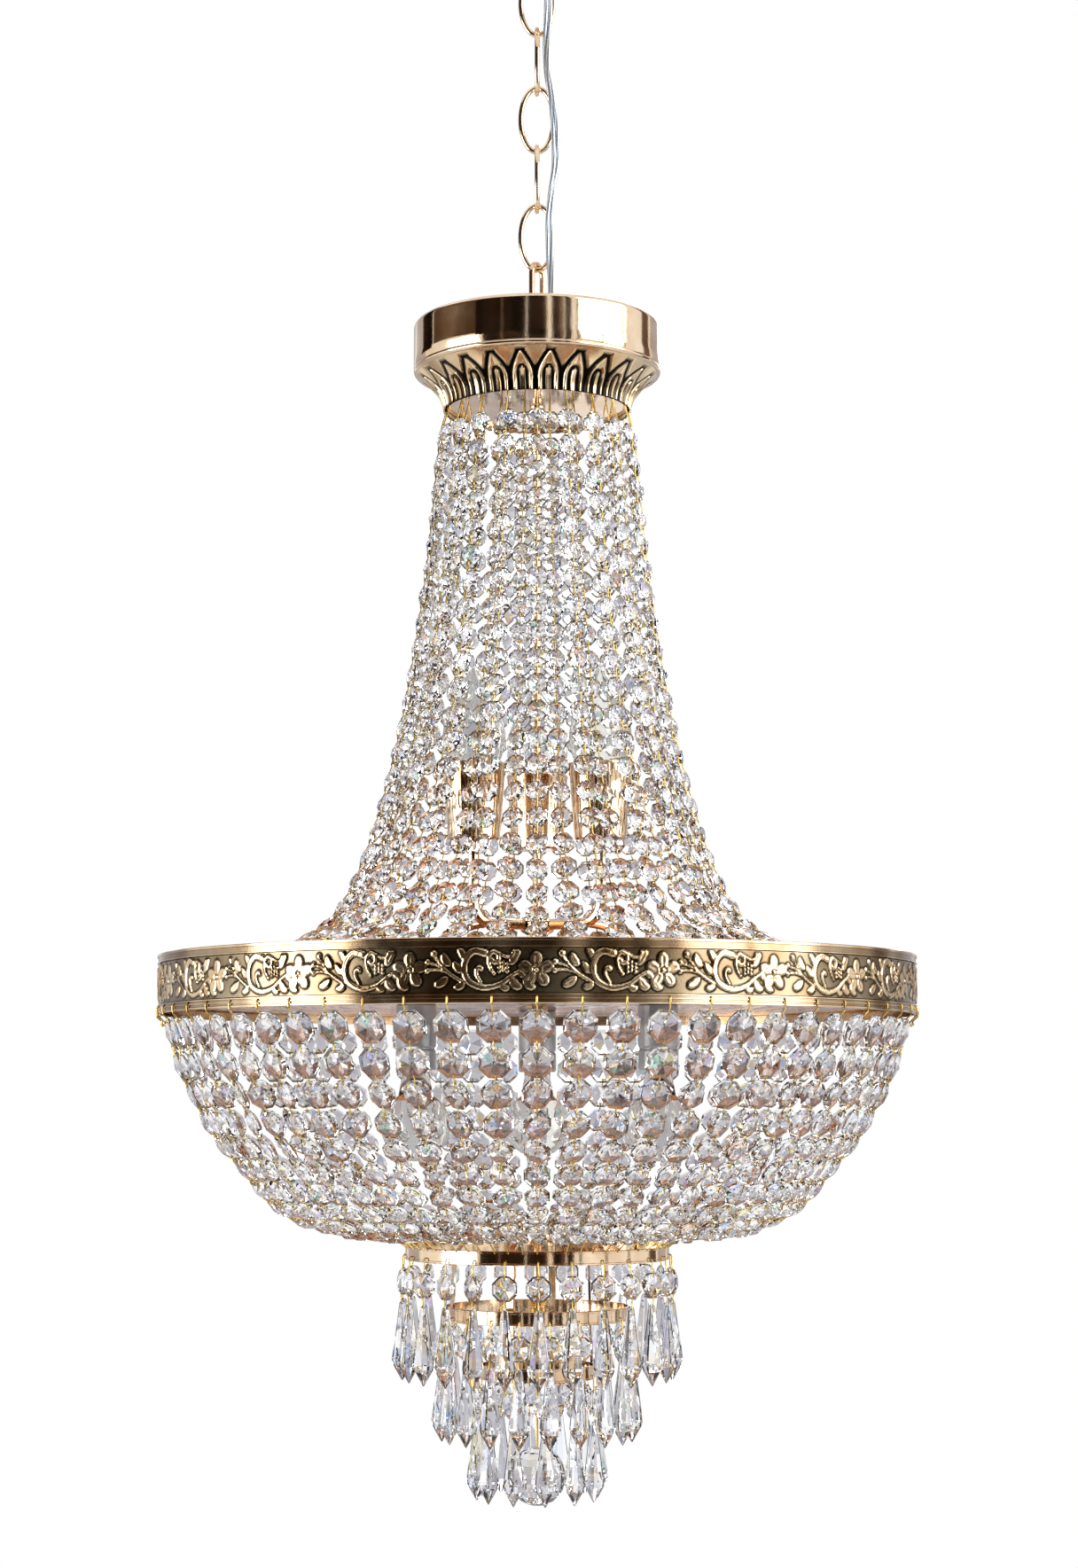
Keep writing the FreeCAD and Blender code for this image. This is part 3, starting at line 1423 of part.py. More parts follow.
def main():
    """Build every sub-part, from the ceiling down."""
    ceiling_bracket()
    bracket_nipple()
    canopy()
    canopy_boss()
    canopy_collar()
    ceiling_terminal()
    chain_links()
    crown_loop()
    crown_drum()
    cord_grommet()
    crown_terminal()
    leaf_ring()
    crown_plate()
    stem_tube()
    stem_collar()
    centre_rod()
    lamp_wire()
    lamp_hub()
    lamp_arms()
    upper_lamp_cups()
    lampholders()
    upper_bulbs()
    main_ring()
    floral_band()
    lamp_plate()
    ring_spokes()
    ring_stays()
    plate_nuts()
    lower_bulbs()
    pins = []
    tail_hub()
    for number in (1, 2, 3):
        tier_ring(number)
        pins += tier_crystals(number)
    tier_straps()
    tier_pins(pins)
    upper_strands()
    bowl_strands()
    ball_eye()
    ball_drop()
    cord_segments()
    DOCUMENT.recompute()
    write_parts()


main()
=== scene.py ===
"""Crystal chandelier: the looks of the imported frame, in metres, +Z up, with the origin on the ceiling."""

import contextlib
import logging
import math
from dataclasses import dataclass
from enum import Enum
from typing import Iterator, Sequence

import bmesh
import bpy
import numpy as np
from mathutils import Matrix, Vector


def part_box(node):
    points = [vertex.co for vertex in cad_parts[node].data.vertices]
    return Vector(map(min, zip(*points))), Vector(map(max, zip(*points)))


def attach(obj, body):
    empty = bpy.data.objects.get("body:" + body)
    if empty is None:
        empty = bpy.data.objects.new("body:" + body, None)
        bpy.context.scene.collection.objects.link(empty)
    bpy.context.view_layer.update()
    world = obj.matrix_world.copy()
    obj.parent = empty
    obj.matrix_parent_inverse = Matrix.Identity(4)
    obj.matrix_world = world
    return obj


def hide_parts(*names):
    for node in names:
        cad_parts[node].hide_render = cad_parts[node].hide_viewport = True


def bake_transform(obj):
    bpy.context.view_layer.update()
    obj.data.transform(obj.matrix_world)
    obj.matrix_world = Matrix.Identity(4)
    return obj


LOG = logging.getLogger("chandelier")
MM = 0.001
HANGING = "chandelier"
Outline = Sequence[tuple[float, float]]
Object, Tree, Array = bpy.types.Object, bpy.types.NodeTree, np.ndarray

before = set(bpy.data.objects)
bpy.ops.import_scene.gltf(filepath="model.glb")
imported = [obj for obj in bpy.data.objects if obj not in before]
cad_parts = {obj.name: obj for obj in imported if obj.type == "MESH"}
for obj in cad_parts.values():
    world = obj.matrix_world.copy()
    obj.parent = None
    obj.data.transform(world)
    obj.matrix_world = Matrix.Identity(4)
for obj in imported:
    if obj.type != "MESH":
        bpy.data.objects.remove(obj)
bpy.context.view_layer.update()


def top_of(node: str) -> float:
    """The top of a node of the frame, in millimetres from the ceiling."""
    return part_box(node)[1].z / MM


def foot_of(node: str) -> float:
    """The foot of a node of the frame, in millimetres from the ceiling."""
    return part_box(node)[0].z / MM


def radius_of(node: str) -> float:
    """Half the width of a node of the frame, in millimetres."""
    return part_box(node)[1].x / MM


# Heights of the frame, in millimetres from the ceiling.
LINK_WIRE = 3.6
LINK_TOP = top_of("chain_link_1") - LINK_WIRE / 2
LINK_PITCH = top_of("chain_link_1") - top_of("chain_link_2")
LINK_SPAN = top_of("chain_link_1") - foot_of("chain_link_1") - LINK_WIRE
LOOP_APEX = top_of("crown_loop") - 2.0
CROWN_TOP, CROWN_FOOT, LEAF_FOOT = top_of("crown_drum"), foot_of("crown_drum"), foot_of("leaf_ring")
STEM_TOP, STEM_FOOT, COLLAR_FOOT = top_of("stem_tube"), foot_of("stem_tube"), foot_of("stem_collar")
HUB_TOP, CUP_FOOT = top_of("lamp_hub"), foot_of("upper_lamp_cups")
RING_TOP, RING_FOOT = top_of("main_ring"), foot_of("main_ring")
PLATE_FOOT = foot_of("lamp_plate")
ROD_TOP, ROD_FOOT = top_of("centre_rod"), foot_of("centre_rod")
BALL_CENTRE = (top_of("crystal_ball") + foot_of("crystal_ball")) / 2

# The cord's route from the ceiling terminal to the crown terminal, in metres.
CORD_POINTS = (
    (0.0074, -0.0062, -0.019), (0.0067, -0.0066, -0.052), (0.0079, -0.0062, -0.092), (0.0055, -0.0064, -0.131),
    (0.0113, -0.0062, -0.160), (0.0134, -0.0066, -0.200), (0.0084, -0.0063, -0.229), (0.0083, -0.0073, -0.256),
    (0.0096, -0.0114, -0.284), (0.0103, -0.0149, -0.312), (0.0105, -0.0150, -0.329),
)


def linear(code: str) -> tuple[float, float, float, float]:
    """Turn an sRGB hex code into a linear colour.

    Args:
        code: Six hex digits.

    Returns:
        Red, green, blue and an alpha of one.
    """
    parts = [int(code[i : i + 2], 16) / 255 for i in (0, 2, 4)]
    red, green, blue = (c / 12.92 if c <= 0.04045 else ((c + 0.055) / 1.055) ** 2.4 for c in parts)
    return red, green, blue, 1.0


def add_node(
    tree: Tree, kind: str, inputs: dict | None = None, stops: Sequence = (), **settings: object
) -> bpy.types.Node:
    """Add a node, set it up, and set or link its inputs.

    Args:
        tree: The tree that gets the node.
        kind: The node's type.
        inputs: Values, output sockets, or nodes that give their first output, by input name or number.
        stops: Positions and hex colours, for a colour ramp.
        settings: Properties of the node.

    Returns:
        The new node.
    """
    node = tree.nodes.new(kind)
    for name, value in settings.items():
        setattr(node, name, value)
    for key, value in (inputs or {}).items():
        if isinstance(value, bpy.types.Node):
            value = value.outputs[0]
        if isinstance(value, bpy.types.NodeSocket):
            tree.links.new(value, node.inputs[key])
        else:
            node.inputs[key].default_value = value
    for number, (place, code) in enumerate(stops):
        stop = node.color_ramp.elements[number]
        stop.position, stop.color = place, linear(code)
    return node


def new_tree(name: str) -> tuple[bpy.types.Material, Tree]:
    """Start a material with an empty tree.

    Args:
        name: The material's name.

    Returns:
        The material and its tree.
    """
    material = bpy.data.materials.new(name)
    material.use_nodes = True
    material.node_tree.nodes.clear()
    return material, material.node_tree


def add_tones(
    tree: Tree, patches: float, detail: float, deep: tuple[float, str], light: tuple[float, str]
) -> tuple[bpy.types.Node, bpy.types.Node]:
    """Add slow noise on the piece's own coordinates, and the colour that it mixes from two tones.

    Args:
        tree: The tree that gets the nodes.
        patches: How many patches there are in a metre.
        detail: The noise's detail.
        deep: Where in the noise the deep tone ends, and its hex code.
        light: Where the light tone starts, and its hex code.

    Returns:
        The noise and the colour.
    """
    place = add_node(tree, "ShaderNodeTexCoord").outputs["Object"]
    noise = add_node(tree, "ShaderNodeTexNoise", {"Vector": place, "Scale": patches, "Detail": detail})
    return noise, add_node(tree, "ShaderNodeValToRGB", {0: noise}, (deep, light))


# ---------------------------------------------------------------- finishes


@dataclass(frozen=True)
class Look:
    """What the finishes share: a name, and a material around one Principled shader."""

    name: str

    def inputs(self, tree: Tree) -> dict[str, object]:
        """Add the finish's own nodes, and return the shader's inputs."""
        raise NotImplementedError

    def material(self) -> bpy.types.Material:
        """Build the material.

        Returns:
            The finished material.
        """
        material, tree = new_tree(self.name)
        shader = add_node(tree, "ShaderNodeBsdfPrincipled", self.inputs(tree))
        add_node(tree, "ShaderNodeOutputMaterial", {0: shader})
        return material


@dataclass(frozen=True)
class Plating(Look):
    """Polished or wiped metal plating: slow tone changes, fine wipe marks, and dark patina in its hollows."""

    light: str
    deep: str
    roughness: float = 0.16
    worn: float = 0.12
    patina: str = "15100C"
    slot: str = "gold"
    patches: float = 38.0  # in a metre, so each is about 26 mm
    wipes: float = 900.0  # in a metre, about 1.1 mm each, coarser than real ones so that they show
    dulling: float = 0.08  # how much rougher the hollows are

    def inputs(self, tree: Tree) -> dict[str, object]:
        """Add the nodes.

        Args:
            tree: The tree that gets them.

        Returns:
            The shader's inputs.
        """
        slow, tone = add_tones(tree, self.patches, 3.0, (0.32, self.deep), (0.66, self.light))
        place = add_node(tree, "ShaderNodeTexCoord").outputs["Object"]
        fine = add_node(tree, "ShaderNodeTexNoise", {"Vector": place, "Scale": self.wipes, "Detail": 2.0})
        hollow = add_node(tree, "ShaderNodeAttribute", attribute_name="hollow").outputs["Fac"]
        mix = {0: hollow, 6: tone, 7: linear(self.patina)}
        colour = add_node(tree, "ShaderNodeMix", mix, data_type="RGBA").outputs[2]
        spread = {0: slow, 1: 0.3, 2: 0.7, 3: self.roughness, 4: self.roughness + self.worn}
        gloss = add_node(tree, "ShaderNodeMapRange", spread)
        gloss = add_node(tree, "ShaderNodeMath", {0: hollow, 1: self.dulling, 2: gloss}, operation="MULTIPLY_ADD")
        bump = add_node(tree, "ShaderNodeBump", {"Height": fine, "Strength": 0.05, "Distance": 0.4 * MM})
        return {"Base Color": colour, "Metallic": 1.0, "Roughness": gloss, "Normal": bump}


@dataclass(frozen=True)
class CutCrystal(Look):
    """Clear cut crystal, whose facets each carry a painted colour: painted dispersion glints, painted reflections
    of the gold, and painted shade.
    """

    slot: str = "crystal"

    def inputs(self, tree: Tree) -> dict[str, object]:
        """Add the nodes.

        Args:
            tree: The tree that gets them.

        Returns:
            The shader's inputs.
        """
        # The facet colour read here is painted light: painted glints, painted reflections of the gold and painted
        # shade.
        painted_facet_light = add_node(tree, "ShaderNodeAttribute", attribute_name="painted_facet_light").outputs["Color"]
        place = add_node(tree, "ShaderNodeTexCoord").outputs["Object"]
        # 300 patches of haze in a metre: each is about 3 mm, a quarter of an octagon.
        haze = add_node(tree, "ShaderNodeTexNoise", {"Vector": place, "Scale": 300.0, "Detail": 1.0})
        gloss = add_node(tree, "ShaderNodeMapRange", {0: haze, 1: 0.4, 2: 0.7, 3: 0.0, 4: 0.03})
        return {"Base Color": painted_facet_light, "Roughness": gloss, "IOR": 1.54, "Transmission Weight": 1.0}


@dataclass(frozen=True)
class ClearSleeve(Look):
    """Clear flexible sleeve over tinned strands, seen as silvery blue with fine wire lines."""

    light: str = "EDF2F6"
    deep: str = "8D98A4"
    slot: str = "clear_flex"

    def inputs(self, tree: Tree) -> dict[str, object]:
        """Add the nodes.

        Args:
            tree: The tree that gets them.

        Returns:
            The shader's inputs.
        """
        line = add_node(tree, "ShaderNodeUVMap", uv_map="lay")
        lay = {"Vector": line, "Scale": 2.6, "Distortion": 0.3}
        wires = add_node(tree, "ShaderNodeTexWave", lay, bands_direction="DIAGONAL").outputs["Fac"]
        colour = add_node(tree, "ShaderNodeValToRGB", {0: wires}, ((0.2, self.deep), (0.75, self.light)))
        bump = add_node(tree, "ShaderNodeBump", {"Height": wires, "Strength": 0.25, "Distance": 0.2 * MM})
        plain = {"Metallic": 0.55, "Roughness": 0.3, "Coat Weight": 0.8, "Coat Roughness": 0.05}
        return {"Base Color": colour, "Normal": bump, **plain}


@dataclass(frozen=True)
class Moulded(Look):
    """Glazed ceramic or moulded plastic: one tone with faint clouding."""

    light: str
    deep: str
    roughness: float
    slot: str
    coat: float = 0.0
    clouds: float = 60.0  # in a metre, so each is about 17 mm

    def inputs(self, tree: Tree) -> dict[str, object]:
        """Add the nodes.

        Args:
            tree: The tree that gets them.

        Returns:
            The shader's inputs.
        """
        cloud, colour = add_tones(tree, self.clouds, 4.0, (0.3, self.deep), (0.65, self.light))
        spread = {0: cloud, 1: 0.3, 2: 0.7, 3: self.roughness, 4: self.roughness + 0.12}
        gloss = add_node(tree, "ShaderNodeMapRange", spread)
        bump = add_node(tree, "ShaderNodeBump", {"Height": cloud, "Strength": 0.08, "Distance": 0.3 * MM})
        return {"Base Color": colour, "Roughness": gloss, "Normal": bump, "Coat Weight": self.coat}


@dataclass(frozen=True)
class ClearGlass(Look):
    """Clear blown bulb glass with a faint haze, in patches of about 14 mm."""

    slot: str = "bulb"

    def inputs(self, tree: Tree) -> dict[str, object]:
        """Add the nodes.

        Args:
            tree: The tree that gets them.

        Returns:
            The shader's inputs.
        """
        haze, colour = add_tones(tree, 70.0, 2.0, (0.3, "F4F4F1"), (0.7, "FAFAF8"))
        gloss = add_node(tree, "ShaderNodeMapRange", {0: haze, 1: 0.4, 2: 0.7, 3: 0.0, 4: 0.05})
        return {"Base Color": colour, "Roughness": gloss, "IOR": 1.47, "Transmission Weight": 1.0}


class Finish(Enum):
    """Every finish on the chandelier."""

    GOLD = Plating("polished_rose_gold", "F3DCBE", "DDBB96", 0.05, 0.06)
    RING_GOLD = Plating("antique_ring_gold", "ECD2AD", "CBA77E", 0.09, 0.1)
    RELIEF = Plating("wiped_relief_gold", "F4DDB6", "C9A579", 0.12, 0.1, patina="0B0806", slot="dark_gold")
    COPPER = Plating("copper_gold_plate", "E0A070", "6B3D22", 0.1, 0.1)
    BRASS = Plating("bright_brass_wire", "F3D88C", "D2AC58", 0.12, 0.1, slot="pin_brass")
    ZINC = Plating("zinc_plated_steel", "B9BBB8", "8C8F90", 0.32, 0.2, slot="steel")
    CRYSTAL = CutCrystal("clear_cut_crystal")
    FLEX = ClearSleeve("clear_flex_over_tinned_wire")
    CERAMIC = Moulded("grey_glazed_ceramic", "AEB1B6", "83868C", 0.14, "holder_white", coat=0.8)
    TERMINAL = Moulded("moulded_white_plastic", "EDEBE4", "DDDAD0", 0.4, "terminal_white")
    BULB = ClearGlass("clear_blown_glass")


MATERIALS: dict[Finish, bpy.types.Material] = {}


def material_of(finish: Finish) -> bpy.types.Material:
    """Build a finish once and keep it.

    Args:
        finish: The finish.

    Returns:
        Its material.
    """
    if finish not in MATERIALS:
        MATERIALS[finish] = finish.value.material()
    return MATERIALS[finish]


def dress_nodes(finish: Finish, *nodes: str) -> None:
    """Give nodes of the frame, which keep their own shapes, a finish.

    Args:
        finish: The finish.
        nodes: The nodes' names.
    """
    for node in nodes:
        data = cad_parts[node].data
        data.materials.clear()
        data.materials.append(material_of(finish))


# ---------------------------------------------------------------- workbench


def raised(base: float, *points: tuple[float, float]) -> list[tuple[float, float]]:
    """Lift the points of an outline, each a radius and a height."""
    return [(radius, base + height) for radius, height in points]


def turned_by(degrees: float, axis: str = "Z") -> Matrix:
    """A turn about an axis through the origin."""
    return Matrix.Rotation(math.radians(degrees), 4, axis)


def moved_by(x: float, y: float, z: float) -> Matrix:
    """A shift in millimetres."""
    return Matrix.Translation((x * MM, y * MM, z * MM))


def placed(name: str, data: bpy.types.ID) -> Object:
    """Make an object of new data and link it to the scene.

    Args:
        name: The object's name.
        data: Its mesh, curve, lamp or camera.

    Returns:
        The object.
    """
    obj = bpy.data.objects.new(name, data)
    bpy.context.scene.collection.objects.link(obj)
    return obj


class Bench:
    """The modelling steps that the sub-assemblies share. All its sizes are in millimetres."""

    BEND_STEPS = 6

    @staticmethod
    def clear() -> None:
        """Deselect everything."""
        bpy.ops.object.select_all(action="DESELECT")

    @staticmethod
    def pick(obj: Object) -> None:
        """Select one object alone and make it active.

        Args:
            obj: The object.
        """
        Bench.clear()
        obj.select_set(True)
        bpy.context.view_layer.objects.active = obj

    @staticmethod
    @contextlib.contextmanager
    def editing(obj: Object) -> Iterator[Object]:
        """Open one object in edit mode, with all of it selected.

        Args:
            obj: The object.

        Returns:
            The same object, while edit mode is open.
        """
        Bench.pick(obj)
        bpy.ops.object.mode_set(mode="EDIT")
        bpy.ops.mesh.select_all(action="SELECT")
        yield obj
        bpy.ops.object.mode_set(mode="OBJECT")

    @staticmethod
    def thread(name: str, points: Sequence) -> Object:
        """Draw a line of edges: a vertex is extruded from point to point.

        Args:
            name: The object's name.
            points: The corners.

        Returns:
            The object with the line.
        """
        corners = [Vector(point) * MM for point in points]
        Bench.clear()
        bpy.ops.mesh.primitive_plane_add(size=MM)
        obj = bpy.context.object
        obj.name = name
        with Bench.editing(obj):
            bpy.ops.mesh.merge(type="CENTER")
            bpy.ops.transform.translate(value=corners[0])
            for start, end in zip(corners, corners[1:]):
                bpy.ops.mesh.extrude_region()
                bpy.ops.transform.translate(value=end - start)
        return obj

    @staticmethod
    def spun(name: str, outline: Outline, steps: int = 96, closed: bool = True) -> Object:
        """Spin an outline of (radius, height) about the axis.

        Args:
            name: The object's name.
            outline: The corners, drawn around the metal.
            steps: How many steps make the turn.
            closed: Whether the outline goes back to its start.

        Returns:
            The spun object, with its faces outwards.
        """
        corners = [(radius, 0, height) for radius, height in outline]
        obj = Bench.thread(name, corners + corners[:1] if closed else corners)
        with Bench.editing(obj):
            bpy.ops.mesh.spin(steps=steps, angle=math.tau, center=(0, 0, 0), axis=(0, 0, 1))
            bpy.ops.mesh.select_all(action="SELECT")
            bpy.ops.mesh.remove_doubles(threshold=1e-6)
            bpy.ops.mesh.normals_make_consistent(inside=False)
        return obj

    @staticmethod
    def bar(name: str, points: Sequence, radius: float, bend: float = 0.0, sides: int = 3) -> Object:
        """Bend a round bar along points.

        Args:
            name: The object's name.
            points: The corners of its line.
            radius: The bar's radius.
            bend: How far from a corner its bend starts.
            sides: The roundness of the section.

        Returns:
            The bar as a closed mesh.
        """
        obj = Bench.thread(name, points)
        if bend:
            with Bench.editing(obj):
                bpy.ops.mesh.bevel(affect="VERTICES", offset=bend * MM, segments=Bench.BEND_STEPS)
        Bench.pick(obj)
        bpy.ops.object.convert(target="CURVE")
        obj = bpy.context.object
        obj.data.bevel_depth = radius * MM
        obj.data.bevel_resolution = sides
        obj.data.use_fill_caps = True
        bpy.ops.object.convert(target="MESH")
        obj = bpy.context.object
        obj.name = name
        return obj

    @staticmethod
    def moved(obj: Object, matrix: Matrix) -> Object:
        """Move an object's mesh by a matrix in metres."""
        obj.data.transform(matrix)
        return obj

    @staticmethod
    def copies(obj: Object, count: int, first: float = 0.0) -> list[Object]:
        """Copy an object about the axis, each copy with its own mesh.

        Args:
            obj: The object, which becomes the last copy.
            count: How many in all.
            first: The last one's angle in degrees; the others follow it round.

        Returns:
            All the copies.
        """
        result = []
        for number in range(1, count + 1):
            twin = obj
            if number < count:
                twin = obj.copy()
                twin.data = obj.data.copy()
                bpy.context.scene.collection.objects.link(twin)
            result.append(Bench.moved(twin, turned_by(first + 360.0 * number / count)))
        return result

    @staticmethod
    def joined(name: str, parts: Sequence[Object]) -> Object:
        """Join objects into one.

        Args:
            name: The name of the whole.
            parts: The objects, of which the first stays.

        Returns:
            The whole.
        """
        Bench.clear()
        for part in parts:
            part.select_set(True)
        bpy.context.view_layer.objects.active = parts[0]
        if len(parts) > 1:
            bpy.ops.object.join()
        parts[0].name = name
        return parts[0]

    @staticmethod
    def dressed(
        obj: Object, finish: Finish, *nodes: str, body: str = HANGING, smooth: float | None = 35.0
    ) -> None:
        """Give a piece its finish, its body and the nodes it stands for.

        Args:
            obj: The piece.
            finish: Its finish.
            nodes: The frame's nodes that it replaces.
            body: The body that it rides on.
            smooth: The angle in degrees below which edges are smooth, or None for flat facets.
        """
        Bench.pick(obj)
        bpy.ops.object.transform_apply(location=True, rotation=True, scale=True)
        if smooth is not None:
            bpy.ops.object.shade_smooth_by_angle(angle=math.radians(smooth))
        obj.data.materials.clear()
        obj.data.materials.append(material_of(finish))
        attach(obj, body)
        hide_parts(*nodes)
        LOG.info("%s: %d faces on %s", obj.name, len(obj.data.polygons), body)

    @staticmethod
    def turned(
        name: str,
        node: str,
        outline: Outline,
        steps: int = 96,
        closed: bool = True,
        finish: Finish = Finish.GOLD,
        **dress: object,
    ) -> None:
        """Spin an outline into a piece that stands for one node, and dress it.

        Args:
            name: The piece's name.
            node: The frame's node that it replaces.
            outline: The corners, drawn around the metal.
            steps: How many steps make the turn.
            closed: Whether the outline goes back to its start.
            finish: Its finish.
            dress: The body and the smoothing, as in dressed.
        """
        Bench.dressed(Bench.spun(name, outline, steps, closed), finish, node, **dress)


# ---------------------------------------------------------------- studio


@dataclass
class Studio:
    """Plain pale floor, soft lamps, dark cards that only reflections see, and the camera."""

    camera_place: tuple[float, float, float] = (0.00117, -1.866, -0.835)
    pitch: float = 6.4
    lens: float = 64.7
    floor_height: float = -2.6
    floor_size: float = 9.0
    fill: float = 0.62
    aim_height: float = -0.7
    card_distance: float = 2.4
    card_foot: float = -2.2
    card_split: float = 0.24
    card_top: float = 1.6

    def build(self) -> None:
        """Make the camera, the world, the lamps, the floor and the cards."""
        self.camera()
        self.world()
        self.lamps()
        self.floor()
        self.cards()

    def camera(self) -> None:
        """Stand the camera where the photograph was taken."""
        data = bpy.data.cameras.new("camera")
        data.lens, data.sensor_width, data.sensor_fit = self.lens, 36.0, "AUTO"
        data.clip_start, data.clip_end = 0.05, 50.0
        camera = placed("camera", data)
        camera.location = self.camera_place
        camera.rotation_euler = (math.radians(90 + self.pitch), 0.0, 0.0)
        bpy.context.scene.camera = camera
        bpy.context.scene.view_settings.view_transform = "Standard"

    def world(self) -> None:
        """White for the eye, in reflections and through glass, and a plain fill for diffuse light."""
        world = bpy.data.worlds.new("studio")
        world.use_nodes = True
        tree = world.node_tree
        tree.nodes.clear()
        path = add_node(tree, "ShaderNodeLightPath")
        seen = path.outputs["Is Camera Ray"]
        for name in ("Is Glossy Ray", "Is Transmission Ray"):
            seen = add_node(tree, "ShaderNodeMath", {0: seen, 1: path.outputs[name]}, operation="MAXIMUM")
        strength = add_node(tree, "ShaderNodeMapRange", {0: seen, 1: 0.0, 2: 1.0, 3: self.fill, 4: 1.0})
        shader = add_node(tree, "ShaderNodeBackground", {0: linear("FFFFFF"), 1: strength})
        add_node(tree, "ShaderNodeOutputWorld", {0: shader})
        bpy.context.scene.world = world

    def lamps(self) -> None:
        """Three soft area lamps: low on the left, wide on the right, and one behind."""
        for name, place, size, power in (
            ("key", (-2.3, -0.8, -0.75), 1.5, 42.0),
            ("fill", (2.2, -1.1, 0.1), 2.2, 64.0),
            ("rim", (0.6, 2.2, 0.4), 1.2, 14.0),
        ):
            data = bpy.data.lights.new(name, "AREA")
            data.size, data.energy = size, power
            lamp = placed(name, data)
            lamp.location = place
            aim = Vector((0, 0, self.aim_height)) - Vector(place)
            lamp.rotation_euler = aim.to_track_quat("-Z", "Y").to_euler()

    def floor(self) -> None:
        """A pale floor far below."""
        bpy.ops.mesh.primitive_plane_add(size=self.floor_size, location=(0, 0, self.floor_height))
        floor = bpy.context.object
        floor.name = "studio_floor"
        material, tree = new_tree("pale_floor")
        _, colour = add_tones(tree, 2.0, 2.0, (0.3, "F2F2F2"), (0.7, "F7F7F7"))
        shader = add_node(tree, "ShaderNodeBsdfPrincipled", {"Base Color": colour, "Roughness": 0.8})
        add_node(tree, "ShaderNodeOutputMaterial", {0: shader})
        floor.data.materials.append(material)

    def cards(self) -> None:
        """Upright cards around the room, seen only in metal and crystal: dark in front, pale grey behind.

        Each group has its two tones, its foot, and the left and right edge of each panel in degrees from the
        camera's side, to the right.
        """
        low, high = self.card_foot, self.card_split
        for name, deep, pale, foot, edges in (
            ("dark_room", "120C08", "3A2D24", low, (-50, -33, -31, -10, -9, 7, 13, 20, 25, 31, 36, 38)),
            ("brown_room", "4A3B30", "7A675A", low, (-33, -31, 7, 9, 20, 24, 60, 62, 84, 86, 112, 124)),
            ("grey_room", "B4B2B9", "CBCAD0", low, (128, 150, 154, 176, 180, 204, 209, 238)),
            ("upper_brown_room", "4A3A2E", "6E5A4A", high, (-111, -58)),
            ("upper_dark_room", "0F0A07", "2A2019", high - 0.3, (-140, -112, -58, -50)),
        ):
            material, tree = new_tree(name + "_card")
            _, colour = add_tones(tree, 1.1, 1.0, (0.3, deep), (0.7, pale))
            shader = add_node(tree, "ShaderNodeEmission", {0: colour, 1: 1.0})
            add_node(tree, "ShaderNodeOutputMaterial", {0: shader})
            panels = [self.card(first, last, foot) for first, last in zip(edges[::2], edges[1::2])]
            card = Bench.joined("studio_" + name, panels)
            card.data.materials.append(material)
            card.visible_camera = card.visible_diffuse = card.visible_shadow = False

    def card(self, first: float, last: float, foot: float) -> Object:
        """One upright card.

        Args:
            first: The angle of its left edge.
            last: The angle of its right edge.
            foot: The height of its lower edge in metres.

        Returns:
            The card.
        """
        Bench.clear()
        bpy.ops.mesh.primitive_plane_add(size=1.0)
        width = 2 * self.card_distance * math.tan(math.radians(last - first) / 2)
        middle = (foot + self.card_top) / 2
        upright = Matrix.Translation((0.0, -self.card_distance, middle)) @ turned_by(90, "X")
        size = Matrix.Diagonal((width, self.card_top - foot, 1.0, 1.0))
        return Bench.moved(bpy.context.object, turned_by((first + last) / 2) @ upright @ size)


# ---------------------------------------------------------------- cord


